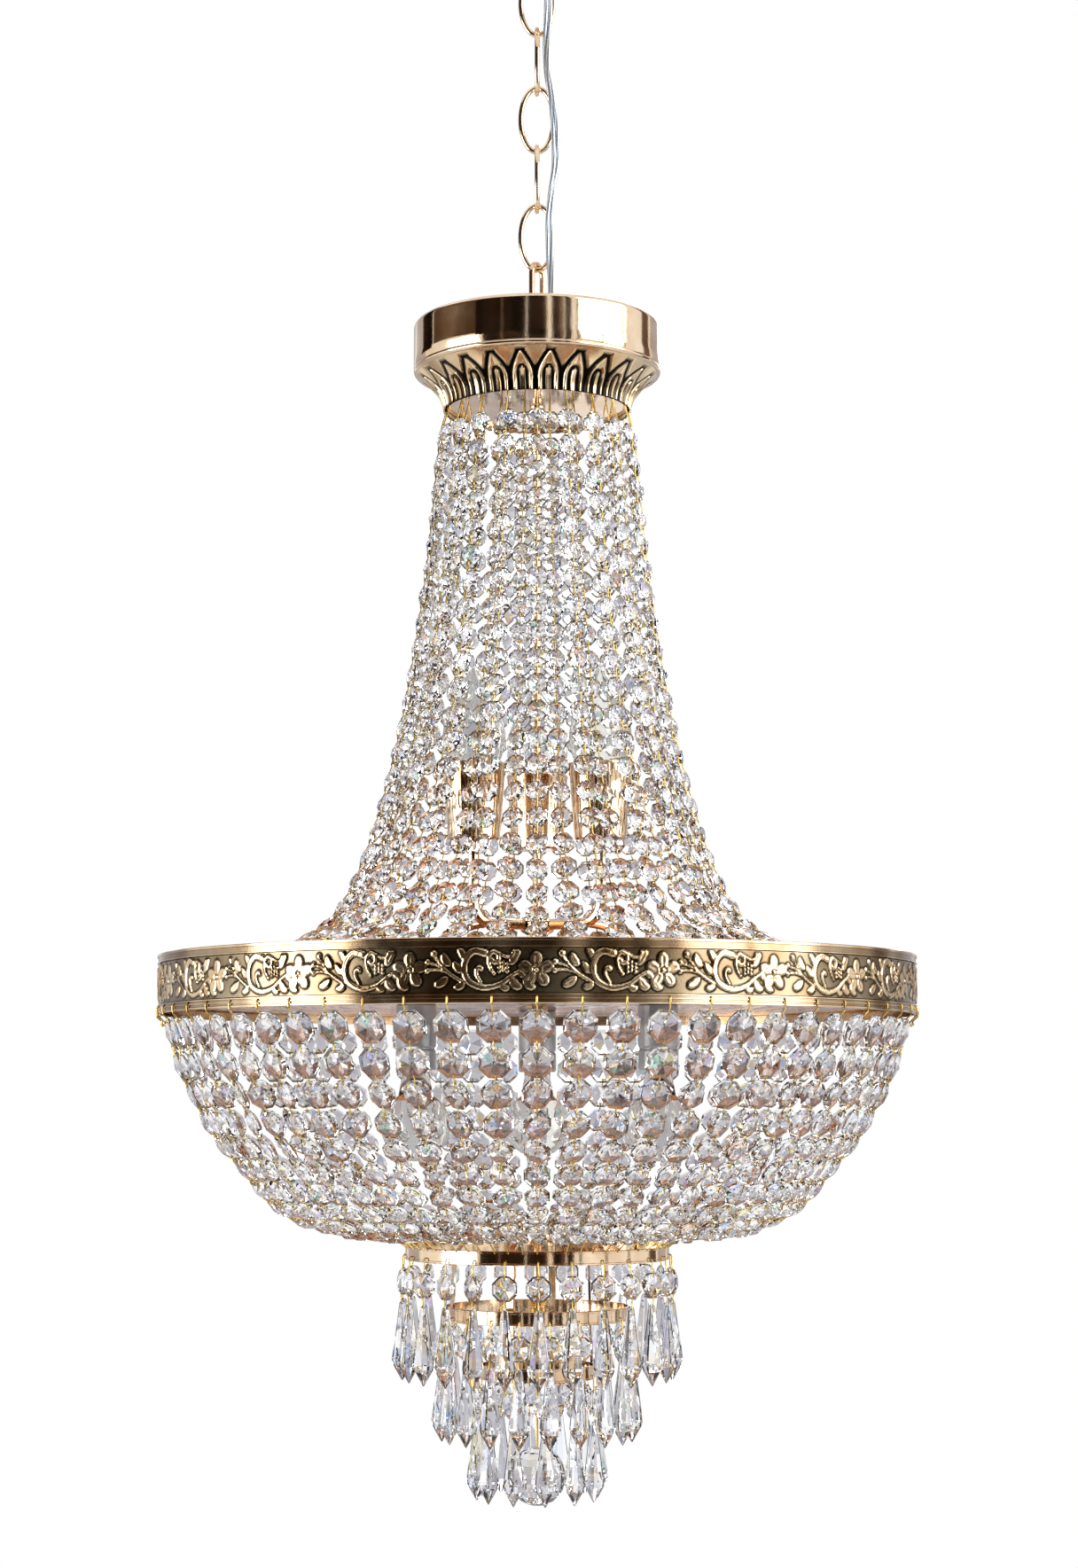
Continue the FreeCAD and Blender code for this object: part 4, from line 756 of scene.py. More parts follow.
@dataclass
class FlexCord:
    """The flat clear flex beside the chain, turned to and fro, in stretches that each cross one joint."""

    diameter: float = 0.0058
    sway_pitch: float = 0.16
    sway: float = 0.8
    strand_pitch: float = 0.11
    sides: int = 12
    step: float = 0.0025
    overlap: float = 1.02

    def line(self) -> list[Vector]:
        """The smooth line of the cord.

        Returns:
            Points read from the NURBS spline through the route.
        """
        data = bpy.data.curves.new("cord_line", "CURVE")
        data.dimensions, data.resolution_u = "3D", 24
        spline = data.splines.new("NURBS")
        spline.points.add(len(CORD_POINTS) - 1)
        for point, place in zip(spline.points, CORD_POINTS):
            point.co = (*place, 1.0)
        spline.order_u = 3
        spline.use_endpoint_u = True
        curve = placed("cord_line", data)
        mesh = bpy.data.meshes.new_from_object(curve)
        points = [vertex.co.copy() for vertex in mesh.vertices]
        bpy.data.objects.remove(curve)
        return points

    def build(self) -> None:
        points = self.line()
        middles = [(LINK_TOP - LINK_PITCH * k - LINK_SPAN / 2) * MM for k in range(5)]
        ends = [points[0].z] + middles + [points[-1].z]
        bodies = ["ceiling"] + ["link_%d" % k for k in range(1, 6)] + [HANGING]
        for number in range(len(bodies) - 1):
            start, end = (self.along(points, height) for height in ends[number : number + 2])
            self.stretch(points, number + 1, start, end, bodies[number])

    def along(self, points: Sequence[Vector], height: float) -> float:
        """Find how far along its line the cord comes to a height.

        Args:
            points: The cord's line.
            height: The height in metres.

        Returns:
            The distance from the line's start.
        """
        far = 0.0
        for start, end in zip(points, points[1:]):
            span = (end - start).length
            if start.z >= height >= end.z:
                return far + (start.z - height) / max(start.z - end.z, 1e-9) * span
            far += span
        return far

    def sample(self, points: Sequence[Vector], length: float) -> Vector:
        """Find the point at a distance along the line.

        Args:
            points: The cord's line.
            length: The distance from its start.

        Returns:
            The point.
        """
        far = 0.0
        for start, end in zip(points, points[1:]):
            span = (end - start).length
            if far + span >= length:
                return start.lerp(end, (length - far) / max(span, 1e-9))
            far += span
        return points[-1].copy()

    def stretch(
        self, points: Sequence[Vector], number: int, start: float, end: float, upper: str
    ) -> None:
        """Make one stretch as two cores side by side.

        Args:
            points: The cord's line.
            number: The stretch's number.
            start: Where it starts, as a distance along the line.
            end: Where it ends.
            upper: The body above its joint.
        """
        count = max(8, round((end - start) / self.step))
        lengths = [start + (end - start) * k / count for k in range(count + 1)]
        path = [self.sample(points, length) for length in lengths]
        mesh = bmesh.new()
        lay = mesh.loops.layers.uv.new("lay")
        core = self.diameter / 4
        angles = [math.tau * k / self.sides for k in range(self.sides)]
        around = [Vector((math.cos(angle), math.sin(angle), 0.0)) for angle in angles]
        for phase in (0.0, math.pi):
            rows = []
            for centre, length in zip(path, lengths):
                turn = self.sway * math.sin(math.tau * length / self.sway_pitch) + phase
                middle = centre + Vector((math.cos(turn), math.sin(turn), 0.0)) * core
                rows.append([mesh.verts.new(middle + way * (core * self.overlap)) for way in around])
            for row, (above, below) in enumerate(zip(rows, rows[1:])):
                for k in range(self.sides):
                    after = (k + 1) % self.sides
                    face = mesh.faces.new((above[k], below[k], below[after], above[after]))
                    for loop, (across, down) in zip(face.loops, ((0, 0), (0, 1), (1, 1), (1, 0))):
                        loop[lay].uv = ((k + across) / self.sides, lengths[row + down] / self.strand_pitch)
            mesh.faces.new(rows[0])
            mesh.faces.new(list(reversed(rows[-1])))
        bmesh.ops.recalc_face_normals(mesh, faces=mesh.faces)
        name = "flex_%d" % number
        data = bpy.data.meshes.new(name)
        mesh.to_mesh(data)
        mesh.free()
        piece = placed(name, data)
        Bench.dressed(piece, Finish.FLEX, "cord_%d" % number, body=upper, smooth=60.0)
        piece.parent = None
        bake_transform(piece)


# ---------------------------------------------------------------- ceiling fitting and chain


@dataclass
class CeilingFitting:
    """Canopy, boss with its eye, and ring nut; the hidden strip, nipple and block keep their own shapes."""

    flat: float = 24.0
    bore: float = 14.4
    wall: float = 1.2

    def shoulder(self, radius: float, foot: float, rise: float) -> list[tuple[float, float]]:
        """The canopy's rounded shoulder, from its flat up to its wall."""
        turns = [math.pi / 2 * k / 12 for k in range(1, 13)]
        return [(self.flat + radius * math.sin(turn), foot + rise * (1 - math.cos(turn))) for turn in turns]

    def build(self) -> None:
        """Make and dress the fitting."""
        dress_nodes(Finish.ZINC, "ceiling_bracket", "bracket_nipple")
        dress_nodes(Finish.TERMINAL, "ceiling_terminal")
        foot, thin = -46.0, self.wall
        outside = [(self.bore, foot), (self.flat, foot), *self.shoulder(31.5, foot, 36.0)]
        outside += [(56.4, -9.6), (57.0, -8.6), (56.6, -7.6), (56.0, -7.0), (57.2, -6.2), (57.5, -5.4)]
        outside += [(57.5, 0.0)]
        inside = [(56.3, 0.0), (56.0, -6.0), *reversed(self.shoulder(31.5 - thin, foot + thin, 36.0 - thin))]
        inside += [(self.flat, foot + thin), (self.bore, foot + thin)]
        Bench.turned("canopy_spinning", "canopy", outside + inside, body="ceiling")
        outline = [(0.0, -40.0), (13.9, -40.0), (13.9, -50.6), (13.4, -51.6), (12.4, -52.0), (0.0, -52.0)]
        boss = Bench.spun("eye_boss", outline, closed=False)
        bpy.ops.mesh.primitive_torus_add(
            major_radius=8.0 * MM, minor_radius=1.8 * MM, major_segments=40, minor_segments=14
        )
        eye = Bench.moved(bpy.context.object, moved_by(0, 0, -59.0) @ turned_by(90, "Y"))
        Bench.dressed(Bench.joined("eye_boss", [boss, eye]), Finish.GOLD, "canopy_boss", body="ceiling")
        nut = raised(
            foot, (14.0, -6.0), (17.6, -6.0), (19.2, -5.4), (19.9, -4.2), (19.9, -1.2), (19.2, 0), (14.0, 0)
        )
        Bench.turned("canopy_ring_nut", "canopy_collar", nut, body="ceiling")


@dataclass
class Chain:
    """Five oval wire links, each a quarter turn from the last."""

    width: float = 26.0
    count: int = 5

    def build(self) -> None:
        """Make each link from a torus drawn into an oval, with its wire kept round."""
        radius = (self.width - LINK_WIRE) / 2 * MM
        tall = LINK_SPAN / 2 * MM
        for number in range(self.count):
            Bench.clear()
            bpy.ops.mesh.primitive_torus_add(
                major_radius=radius, minor_radius=LINK_WIRE / 2 * MM, major_segments=48, minor_segments=14
            )
            link = bpy.context.object
            link.name, body = "link_wire_%d" % (number + 1), "link_%d" % (number + 1)
            for vertex in link.data.vertices:
                turn = math.atan2(vertex.co.y, vertex.co.x)
                out = math.hypot(vertex.co.x, vertex.co.y) - radius
                way = Vector((tall * math.cos(turn), radius * math.sin(turn), 0.0)).normalized()
                vertex.co.x = radius * math.cos(turn) + way.x * out
                vertex.co.y = tall * math.sin(turn) + way.y * out
            centre = LINK_TOP - LINK_PITCH * number - LINK_SPAN / 2
            Bench.moved(link, moved_by(0, 0, centre) @ turned_by(90 * (number % 2)) @ turned_by(90, "X"))
            Bench.dressed(link, Finish.GOLD, "chain_" + body, body=body)


# ---------------------------------------------------------------- crown and stem


def soft_step(distance: float, soft: float) -> float:
    """Rise smoothly from 0 to 1 as a distance goes from -soft to soft."""
    share = max(0.0, min(1.0, 0.5 + distance / (2 * soft)))
    return share * share * (3 - 2 * share)


@dataclass
class Crown:
    """The loop, the polished drum and the ring of upright leaves below it."""

    radius: float = 83.6
    leaves: int = 24
    first_leaf: float = 6.5
    leaf_rows: int = 38
    leaf_columns: int = 32
    leaf_sink: float = 0.7
    flare_foot: float = 62.9
    flare_spread: float = 17.6
    flare_wall: float = 1.6

    def build(self) -> None:
        """Make and dress the crown."""
        self.loop()
        self.drum()
        self.leaf_ring()
        dress_nodes(Finish.GOLD, "crown_plate")
        dress_nodes(Finish.TERMINAL, "crown_terminal")
        outline = raised(
            CROWN_TOP, (3.6, -2.7), (4.7, -2.7), (4.7, 0.0), (6.0, 0.1), (5.6, 1.1), (4.4, 1.6), (3.6, 1.5)
        )
        bush = Bench.spun("cord_bush", outline, 32)
        Bench.moved(bush, Matrix.Translation((CORD_POINTS[-2][0], CORD_POINTS[-2][1], 0)))
        Bench.dressed(bush, Finish.TERMINAL, "cord_grommet")

    def loop(self) -> None:
        """The tall loop on its round base."""
        half, foot = 8.0, CROWN_TOP + 1.7
        turns = [math.pi * k / 12 for k in range(13)]
        arc = [(0.0, half * math.cos(turn), LOOP_APEX - half + half * math.sin(turn)) for turn in turns]
        bow = Bench.bar("loop_bow", [(0, half, foot), *arc, (0, -half, foot)], 2.0, sides=4)
        outline = raised(
            CROWN_TOP, (0.0, 4.0), (7.4, 4.0), (10.2, 3.4), (11.0, 2.3), (11.0, 0.0), (4.5, 0.0), (4.5, -9.1),
            (0.0, -9.1),
        )
        base = Bench.spun("loop_base", outline, 48, closed=False)
        loop = Bench.moved(Bench.joined("crown_hanging_loop", [bow, base]), turned_by(-27.0))
        Bench.dressed(loop, Finish.GOLD, "crown_loop")

    def drum(self) -> None:
        """The spun drum: rounded top edge, plain wall, and a rolled foot that turns in."""
        outer, top, foot = self.radius, CROWN_TOP, CROWN_FOOT
        quarter = [math.radians(angle) for angle in range(0, 91, 15)]
        edge = [(outer - 3.0 + 3.0 * math.sin(turn), top - 3.0 + 3.0 * math.cos(turn)) for turn in quarter]
        roll = [(outer - 2.2 + 2.2 * math.cos(turn), foot + 2.2 - 2.2 * math.sin(turn)) for turn in quarter]
        outline = [
            (4.6, top), *edge, (outer, top - 3.8), (outer, foot + 10.0), (outer, foot + 3.6),
            (outer - 0.35, foot + 3.1), (outer - 0.3, foot + 2.7), *roll, (outer - 3.4, foot),
            (outer - 3.4, foot + 1.0), (outer - 1.6, foot + 3.2), (outer - 1.2, top - 3.0),
            (outer - 3.0, top - 1.2), (4.6, top - 1.2),
        ]
        Bench.turned("crown_polished_drum", "crown_drum", outline, 128, smooth=40.0)

    def relief(self, across: float, up: float) -> tuple[float, float]:
        """One upright leaf: pointed, with a round arch cut in it, a rib inside, and darts between the tips.

        Args:
            across: From -1 at the left edge of the leaf's place to 1 at the right.
            up: From 0 at the foot to 1 at the top.

        Returns:
            The height in millimetres above the ground, and how deep in patina the place is.
        """
        side = abs(across)
        rise = max(0.0, (up - 0.34) / 0.55)
        tip = 0.78 * max(0.0, 1 - rise**1.7) if up < 0.89 else 0.0
        arch = 0.50 * math.sqrt(max(0.0, 1 - max(0.0, (up - 0.38) / 0.25) ** 2)) if up < 0.63 else 0.0
        rib = 0.17 if up < 0.50 else 0.17 * max(0.0, 1 - (up - 0.50) / 0.06)
        leaf = soft_step(tip - side, 0.05) if tip > 0 else 0.0
        cut = soft_step(arch - side, 0.05) if arch > 0 else 0.0
        post = soft_step(rib - side, 0.05) if rib > 0.02 else 0.0
        dart = soft_step(side - tip - 0.36, 0.06) * soft_step(up - 0.62, 0.05)
        body = leaf * (1 - cut)
        shape = max(body, post * cut, dart, soft_step(up - 0.95, 0.02))
        crown = 1.5 - 0.7 * abs(side - (tip + arch) / 2) / 0.25 if body > 0.5 else 1.15
        return shape * max(0.6, crown), 1.0 - shape

    def leaf_ring(self) -> None:
        """The flare with its leaves, and a plain inner wall."""
        rise = CROWN_FOOT - LEAF_FOOT
        Bench.clear()
        bpy.ops.mesh.primitive_grid_add(x_subdivisions=self.leaf_columns, y_subdivisions=self.leaf_rows, size=2)
        leaf = bpy.context.object
        dark = leaf.data.attributes.new("hollow", "FLOAT", "POINT")
        half = math.pi / self.leaves
        for number, vertex in enumerate(leaf.data.vertices):
            across, up = vertex.co.x, (vertex.co.y + 1) / 2
            height, dark.data[number].value = self.relief(across, up)
            radius = self.flare_foot + self.flare_spread * up**2.0 + height - self.leaf_sink
            turn = half * across
            vertex.co = Vector((radius * math.sin(turn), -radius * math.cos(turn), LEAF_FOOT + rise * up)) * MM
        ring = Bench.copies(leaf, self.leaves, self.first_leaf)
        back, spread = self.flare_foot - self.flare_wall, self.flare_spread - self.flare_wall / 2
        inner = [(back + spread * (k / 10) ** 2.0, LEAF_FOOT + rise * k / 10) for k in range(11)]
        ring = Bench.joined("crown_leaf_ring", [Bench.spun("leaf_back", inner, closed=False), *ring])
        with Bench.editing(ring):
            bpy.ops.mesh.remove_doubles(threshold=2e-5)
        Bench.dressed(ring, Finish.RELIEF, "leaf_ring", smooth=50.0)


@dataclass
class Stem:
    """Tube, stepped collar, long rod and the wire sleeve behind it."""

    tube: float = 5.25
    collar: float = 3.8
    rod: float = 2.35

    def build(self) -> None:
        """Make and dress the stem."""
        foot, low, tube, collar, rod = STEM_FOOT, COLLAR_FOOT, self.tube, self.collar, self.rod
        outline = [(4.0, STEM_TOP), (tube, STEM_TOP), (tube, foot + 0.8), (tube - 0.35, foot), (4.0, foot)]
        Bench.turned("stem_tube_drawn", "stem_tube", outline, 32)
        outline = [
            (rod, foot), (collar - 0.4, foot), (collar, foot - 0.6), (collar, low + 1.1),
            (collar - 0.5, low + 0.4), (collar - 1.0, low), (rod, low),
        ]
        Bench.turned("stem_step_collar", "stem_collar", outline, 32)
        outline = [(0.0, ROD_TOP), (rod, ROD_TOP), (rod, ROD_FOOT + 0.5), (rod - 0.45, ROD_FOOT), (0.0, ROD_FOOT)]
        Bench.turned("long_rod", "centre_rod", outline, 24, closed=False)
        dress_nodes(Finish.TERMINAL, "lamp_wire")


# ---------------------------------------------------------------- lamps


@dataclass
class Lamps:
    """Hub, bent arms, tapered cups, all the holders, and the candle and globe bulbs."""

    circle: float = 48.0
    lower_circle: float = 90.0
    count: int = 3
    seat: float = 20.3
    glass: float = 0.7

    def build(self) -> None:
        """Make and dress the lamps."""
        hub = raised(
            HUB_TOP, (2.4, 0.0), (9.8, 0.0), (11.0, -1.2), (11.0, -2.9), (10.2, -3.5), (10.2, -6.5), (11.0, -7.1),
            (11.0, -8.9), (9.6, -10.2), (6.0, -11.9), (4.4, -13.7), (2.4, -14.0),
        )
        Bench.turned("lamp_hub_turned", "lamp_hub", hub, 48)
        level = HUB_TOP - 5.0
        line = [(11.0, 0, level), (self.circle, 0, level), (self.circle, 0, CUP_FOOT)]
        arm = Bench.bar("lamp_arm", line, 3.5, bend=14.0)
        arms = Bench.joined("lamp_arms_bent", Bench.copies(arm, self.count, 90.0))
        Bench.dressed(arms, Finish.GOLD, "lamp_arms")
        outline = raised(
            CUP_FOOT, (0.0, 0.0), (15.6, 0.0), (17.0, 1.2), (17.6, 8.0), (19.4, 32.0), (20.5, 48.6), (21.0, 49.6),
            (20.9, 50.7), (20.3, 51.0), (19.8, 50.0), (19.4, 48.0), (18.4, 32.0), (16.4, 4.0), (15.6, 1.0),
            (0.0, 1.0),
        )
        cup = Bench.moved(Bench.spun("cup", outline, 48, closed=False), moved_by(self.circle, 0, 0))
        cups = Bench.joined("upper_cups_spun", Bench.copies(cup, self.count, 90.0))
        Bench.dressed(cups, Finish.GOLD, "upper_lamp_cups")
        self.holders()
        self.bulbs()

    def holders(self) -> None:
        """Three glazed holders in the cups and three under the lamp plate."""
        outline = [
            (0.0, 0.0), (12.2, 0.0), (13.0, 0.8), (13.0, 27.0), (12.3, 27.8), (12.3, 29.0), (13.0, 29.8),
            (13.0, 41.0), (12.2, 42.0), (7.06, 42.0), (7.06, 20.0), (0.0, 20.0),
        ]
        pieces = []
        for place in (
            moved_by(self.circle, 0, CUP_FOOT + 1.0),
            moved_by(self.lower_circle, 0, PLATE_FOOT) @ turned_by(180, "X"),
        ):
            holder = Bench.moved(Bench.spun("holder", outline, 40, closed=False), place)
            pieces += Bench.copies(holder, self.count, 90.0)
        Bench.dressed(Bench.joined("glazed_holders", pieces), Finish.CERAMIC, "lampholders")

    def bulbs(self) -> None:
        """Candle bulbs above and globe bulbs below, each a glass shell around a hollow, on a solid cap."""
        cap = [(0.0, 0.0), (7.0, 0.0), (7.0, 22.0), (8.5, 23.0)]
        candle, globe = list(cap), list(cap)
        for share in (k / 14 for k in range(1, 14)):
            swell = 16.0 * math.sin(math.pi * share**0.75) ** 0.9 * 0.96
            candle.append((8.5 * (1 - share) + swell, 23.0 + 73.0 * share))
        for turn in (math.radians(angle) for angle in range(-60, 76, 15)):
            globe.append((22.5 * math.cos(turn), 57.5 + 22.5 * math.sin(turn)))
        candle.append((0.0, 96.0))
        globe.append((0.0, 80.0))
        upper = moved_by(self.circle, 0, CUP_FOOT + 1.0 + self.seat)
        lower = moved_by(self.lower_circle, 0, PLATE_FOOT - self.seat) @ turned_by(180, "X")
        for number, angle in enumerate((90, 210, 330), start=1):
            for level, outline, place in (("upper", candle, upper), ("lower", globe, lower)):
                room = [(max(radius - self.glass, 0.0), rise - 0.6) for radius, rise in outline[len(cap) :]]
                hollow = Bench.spun("hollow", [(0.0, 23.5), *room], 32, closed=False)
                hollow.data.flip_normals()
                name = "%s_glass_%d" % (level, number)
                bulb = Bench.joined(name, [Bench.spun(name, outline, 32, closed=False), hollow])
                Bench.moved(bulb, turned_by(angle) @ place)
                body = "%s_bulb_%d" % (level, number)
                Bench.dressed(bulb, Finish.BULB, body, body=body, smooth=60.0)


# ---------------------------------------------------------------- main ring


@dataclass(frozen=True)
class Stroke:
    """One raised line of the pressed flowers and scrolls, flat, in millimetres: across to the right and up."""

    line: tuple[tuple[float, float], ...]
    widths: tuple[float, ...]
    height: float = 1.0
    groove: float = 0.0
    step: float = 0.5

    def samples(self) -> list[tuple[float, float, float]]:
        """Walk the line smoothly.

        Returns:
            Places along it, each with the line's half width there.
        """
        points = [np.array(point) for point in self.line]
        if len(points) == 1:
            return [(*self.line[0], self.widths[0])]
        found = []
        for k in range(len(points) - 1):
            before, start = points[max(k - 1, 0)], points[k]
            end, after = points[k + 1], points[min(k + 2, len(points) - 1)]
            steps = max(3, int(np.linalg.norm(end - start) / self.step))
            for t in (step / steps for step in range(steps + 1)):
                place = 0.5 * (
                    2 * start + (end - before) * t + (2 * before - 5 * start + 4 * end - after) * t**2
                    + (3 * start - before - 3 * end + after) * t**3
                )
                share = (k + t) / (len(points) - 1)
                wide = float(np.interp(share, np.linspace(0, 1, len(self.widths)), self.widths))
                found.append((place[0], place[1], wide))
        return found


def leaf_stroke(wide: float, *line: tuple[float, float]) -> Stroke:
    """A pointed leaf along a line."""
    return Stroke(line, (0.8, 1.15 * wide, wide, 0.3), 0.9, 0.4)


def dot(across: float, up: float, wide: float, height: float = 1.0) -> Stroke:
    """A round boss."""
    return Stroke(((across, up),), (wide,), height)


def flower_strokes(across: float, up: float) -> list[Stroke]:
    """A flower with five petals, a ring of berries and a boss.

    Args:
        across: Its middle across.
        up: Its middle up.

    Returns:
        Its strokes.
    """
    petals = []
    for angle in (math.radians(90 + 72 * k) for k in range(5)):
        way = (math.cos(angle), math.sin(angle))
        line = tuple((across + way[0] * reach, up + way[1] * reach) for reach in (3.8, 6.0, 8.2))
        petals.append(Stroke(line, (1.9, 3.3, 3.6, 2.6), 0.85, 0.4))
    turns = [math.tau * k / 6 for k in range(6)]
    berries = [dot(across + 2.8 * math.cos(turn), up + 2.8 * math.sin(turn), 1.1) for turn in turns]
    return petals + berries + [dot(across, up, 1.5, 1.2)]


def floral_strokes() -> list[Stroke]:
    """The strokes of one repeat of the band: a C scroll, a berry cluster, a flower, leaves and budding stems."""
    scroll = (
        (4.5, 9.7), (-1.3, 11.0), (-5.8, 7.1), (-7.5, 0.6), (-5.2, -5.8), (0.6, -9.4), (7.1, -10.0), (14.3, -7.8),
        (19.5, -3.9), (24.7, -0.6),
    )
    curl = (
        (10.4, -2.6), (7.8, 1.3), (6.8, 6.5), (9.1, 10.4), (12.3, 9.1), (12.7, 5.8), (10.4, 4.2), (8.8, 5.8),
    )
    scrolls = [
        Stroke(scroll, (2.1, 1.9, 1.7, 1.4, 0.8), 1.15, 0.45),
        Stroke(((2.6, -7.5), (0.0, -3.2), (-0.3, 0.0), (1.6, 1.6), (2.6, 0.6)), (0.8, 1.1, 1.3)),
        Stroke(curl, (0.6, 1.2, 1.1, 1.1)),
        Stroke(((13.0, 9.7), (17.0, 7.5), (20.0, 8.0), (21.4, 10.4)), (0.6, 0.8, 1.2)),
        dot(4.5, 9.7, 2.3, 1.15),
    ]
    berries = [
        dot(13.0 + 2.3 * column, -1.0 + 2.3 * row + 0.8 * (column % 2), 1.05)
        for column in range(3)
        for row in range(3)
    ]
    leaves = [
        leaf_stroke(2.3, (20.0, 3.5), (22.0, 8.0), (24.7, 11.0)),
        leaf_stroke(1.6, (13.5, -8.5), (16.5, -10.6), (18.8, -9.7)),
        leaf_stroke(2.3, (20.0, -4.5), (22.5, -8.8), (26.0, -9.7)),
        leaf_stroke(2.0, (27.5, -4.5), (30.0, -9.0), (33.8, -10.2)),
        leaf_stroke(1.6, (24.7, -0.6), (26.2, -2.8), (28.0, -3.2)),
        leaf_stroke(2.3, (-16.0, 3.0), (-18.8, 6.0), (-19.5, 9.7)),
        leaf_stroke(2.0, (-9.0, -1.0), (-11.5, 1.5), (-13.6, 4.5)),
        leaf_stroke(1.9, (-7.5, 6.0), (-8.8, 10.0), (-11.0, 11.7)),
        leaf_stroke(2.3, (-17.5, -4.5), (-21.5, -7.5), (-24.7, -8.4)),
        leaf_stroke(1.9, (-7.5, -7.0), (-10.0, -9.4), (-13.0, -9.7)),
    ]
    stems = [
        Stroke(((-7.8, -7.1), (-16.9, -1.3), (-22.7, 5.2), (-25.3, 9.1)), (0.9, 0.7, 0.6)),
        Stroke(((-16.9, -1.3), (-23.0, 2.6), (-29.2, 4.5)), (0.6, 0.55)),
        Stroke(((-16.9, -1.3), (-23.5, 0.4), (-29.2, 0.0)), (0.6, 0.55)),
    ]
    buds = [dot(-25.3, 9.6, 1.9, 1.1), dot(-29.2, 4.8, 1.6, 1.1), dot(-29.4, -0.2, 1.5, 1.1)]
    return scrolls + berries + flower_strokes(34.4, 0.0) + leaves + stems + buds


@dataclass
class MainRing:
    """The rolled ring with its borders and strip of flowers, and the plate, spokes and stays inside it."""

    radius: float = 249.0
    inner: float = 246.3
    field_radius: float = 247.9
    field_half: float = 12.7
    repeats: int = 21
    columns: int = 104
    rows: int = 38
    first_scroll: float = -8.0
    scroll_shift: float = 7.0
    far: float = 9.0
    border_dark: float = 0.55
    edge_dark: float = 0.1
    ground_wiped: float = 0.34
    groove_share: float = 0.28

    def build(self) -> None:
        """Make and dress the ring and what it holds."""
        self.ring()
        self.band()
        self.plate()
        dress_nodes(Finish.RING_GOLD, "ring_spokes", "plate_nuts")
        self.stays()

    def ring(self) -> None:
        """The rolled ring: rounded edges and two raised lines on each border, dark between them."""
        foot, top, outer, field = RING_FOOT, RING_TOP, self.radius, self.field_radius - 0.3
        low, high = outer - 0.7, outer - 0.05
        outline = raised(
            foot, (self.inner, 0.0), (outer - 0.4, 0.0), (outer, 0.4), (outer, 1.1), (low, 1.5), (low, 2.6),
            (high, 2.9), (high, 3.5), (low, 3.8), (low, 4.7), (high, 5.0), (high, 5.6), (low, 5.9), (field, 6.2),
        )
        outline += raised(
            top, (field, -6.2), (low, -5.9), (high, -5.6), (high, -5.1), (low, -4.8), (low, -1.9), (outer, -1.6),
            (outer, -0.4), (outer - 0.4, 0.0), (self.inner, 0.0),
        )
        ring = Bench.spun("main_ring_rolled", outline, 168)
        dark = ring.data.attributes.new("hollow", "FLOAT", "POINT")
        for number, vertex in enumerate(ring.data.vertices):
            out = math.hypot(vertex.co.x, vertex.co.y) / MM
            border = 247.0 < out < outer - 0.5
            dark.data[number].value = self.border_dark if border else self.edge_dark
        Bench.dressed(ring, Finish.RING_GOLD, "main_ring", smooth=30.0)

    def band(self) -> None:
        """The pressed strip: one repeat's relief as a fine grid, copied around the ring."""
        Bench.clear()
        bpy.ops.mesh.primitive_grid_add(x_subdivisions=self.columns, y_subdivisions=self.rows, size=2)
        strip = bpy.context.object
        flat = np.array([vertex.co for vertex in strip.data.vertices])
        pitch = math.tau * self.radius / self.repeats
        across = flat[:, 0] * pitch / 2 + self.scroll_shift
        up = flat[:, 1] * self.field_half
        height = np.zeros(len(flat))
        nearest = np.full(len(flat), self.far)
        for stroke in floral_strokes():
            away = np.full(len(flat), self.far)
            for x, z, wide in stroke.samples():
                for shift in (-pitch, 0.0, pitch):
                    near = np.hypot(across - x - shift, up - z)
                    away = np.minimum(away, near / wide)
                    nearest = np.minimum(nearest, near - wide)
            groove = stroke.groove * np.exp(-((away / self.groove_share) ** 2))
            height = np.maximum(height, stroke.height * (np.sqrt(np.clip(1 - away**2, 0, 1)) - groove))
        ground = 1 - self.ground_wiped * np.clip((nearest - 0.6) / 0.9, 0, 1)
        hollow = np.where(nearest < 0.15, 1 - np.clip(height / 0.6, 0, 1) ** 1.5, ground)
        dark = strip.data.attributes.new("hollow", "FLOAT", "POINT")
        dark.data.foreach_set("value", hollow.tolist())
        middle = (RING_TOP + RING_FOOT) / 2
        turn = math.radians(self.first_scroll) + across / self.radius
        out = self.field_radius + 0.1 + height
        places = np.stack([out * np.sin(turn), -out * np.cos(turn), middle + up], axis=1) * MM
        strip.data.vertices.foreach_set("co", places.ravel())
        band = Bench.joined("floral_band_pressed", Bench.copies(strip, self.repeats))
        with Bench.editing(band):
            bpy.ops.mesh.remove_doubles(threshold=1e-5)
        Bench.dressed(band, Finish.RELIEF, "floral_band", smooth=60.0)

    def plate(self) -> None:
        """The wide lamp plate with pressed rings and a turned-up rim."""
        rings = []
        for radius in (32.0 + 20.0 * k for k in range(10)):
            rings += [(radius - 3.0, 0.0), (radius - 1.0, 0.7), (radius + 1.0, 0.7), (radius + 3.0, 0.0)]
        outline = raised(
            PLATE_FOOT, (4.0, 0.0), *rings, (234.6, 0.0), (235.7, 0.5), (236.0, 1.5), (236.0, 4.8), (235.5, 5.0),
            (235.0, 4.8), (235.0, 1.0), (4.0, 1.0),
        )
        Bench.turned("lamp_plate_spun", "lamp_plate", outline, 144, finish=Finish.COPPER, smooth=40.0)

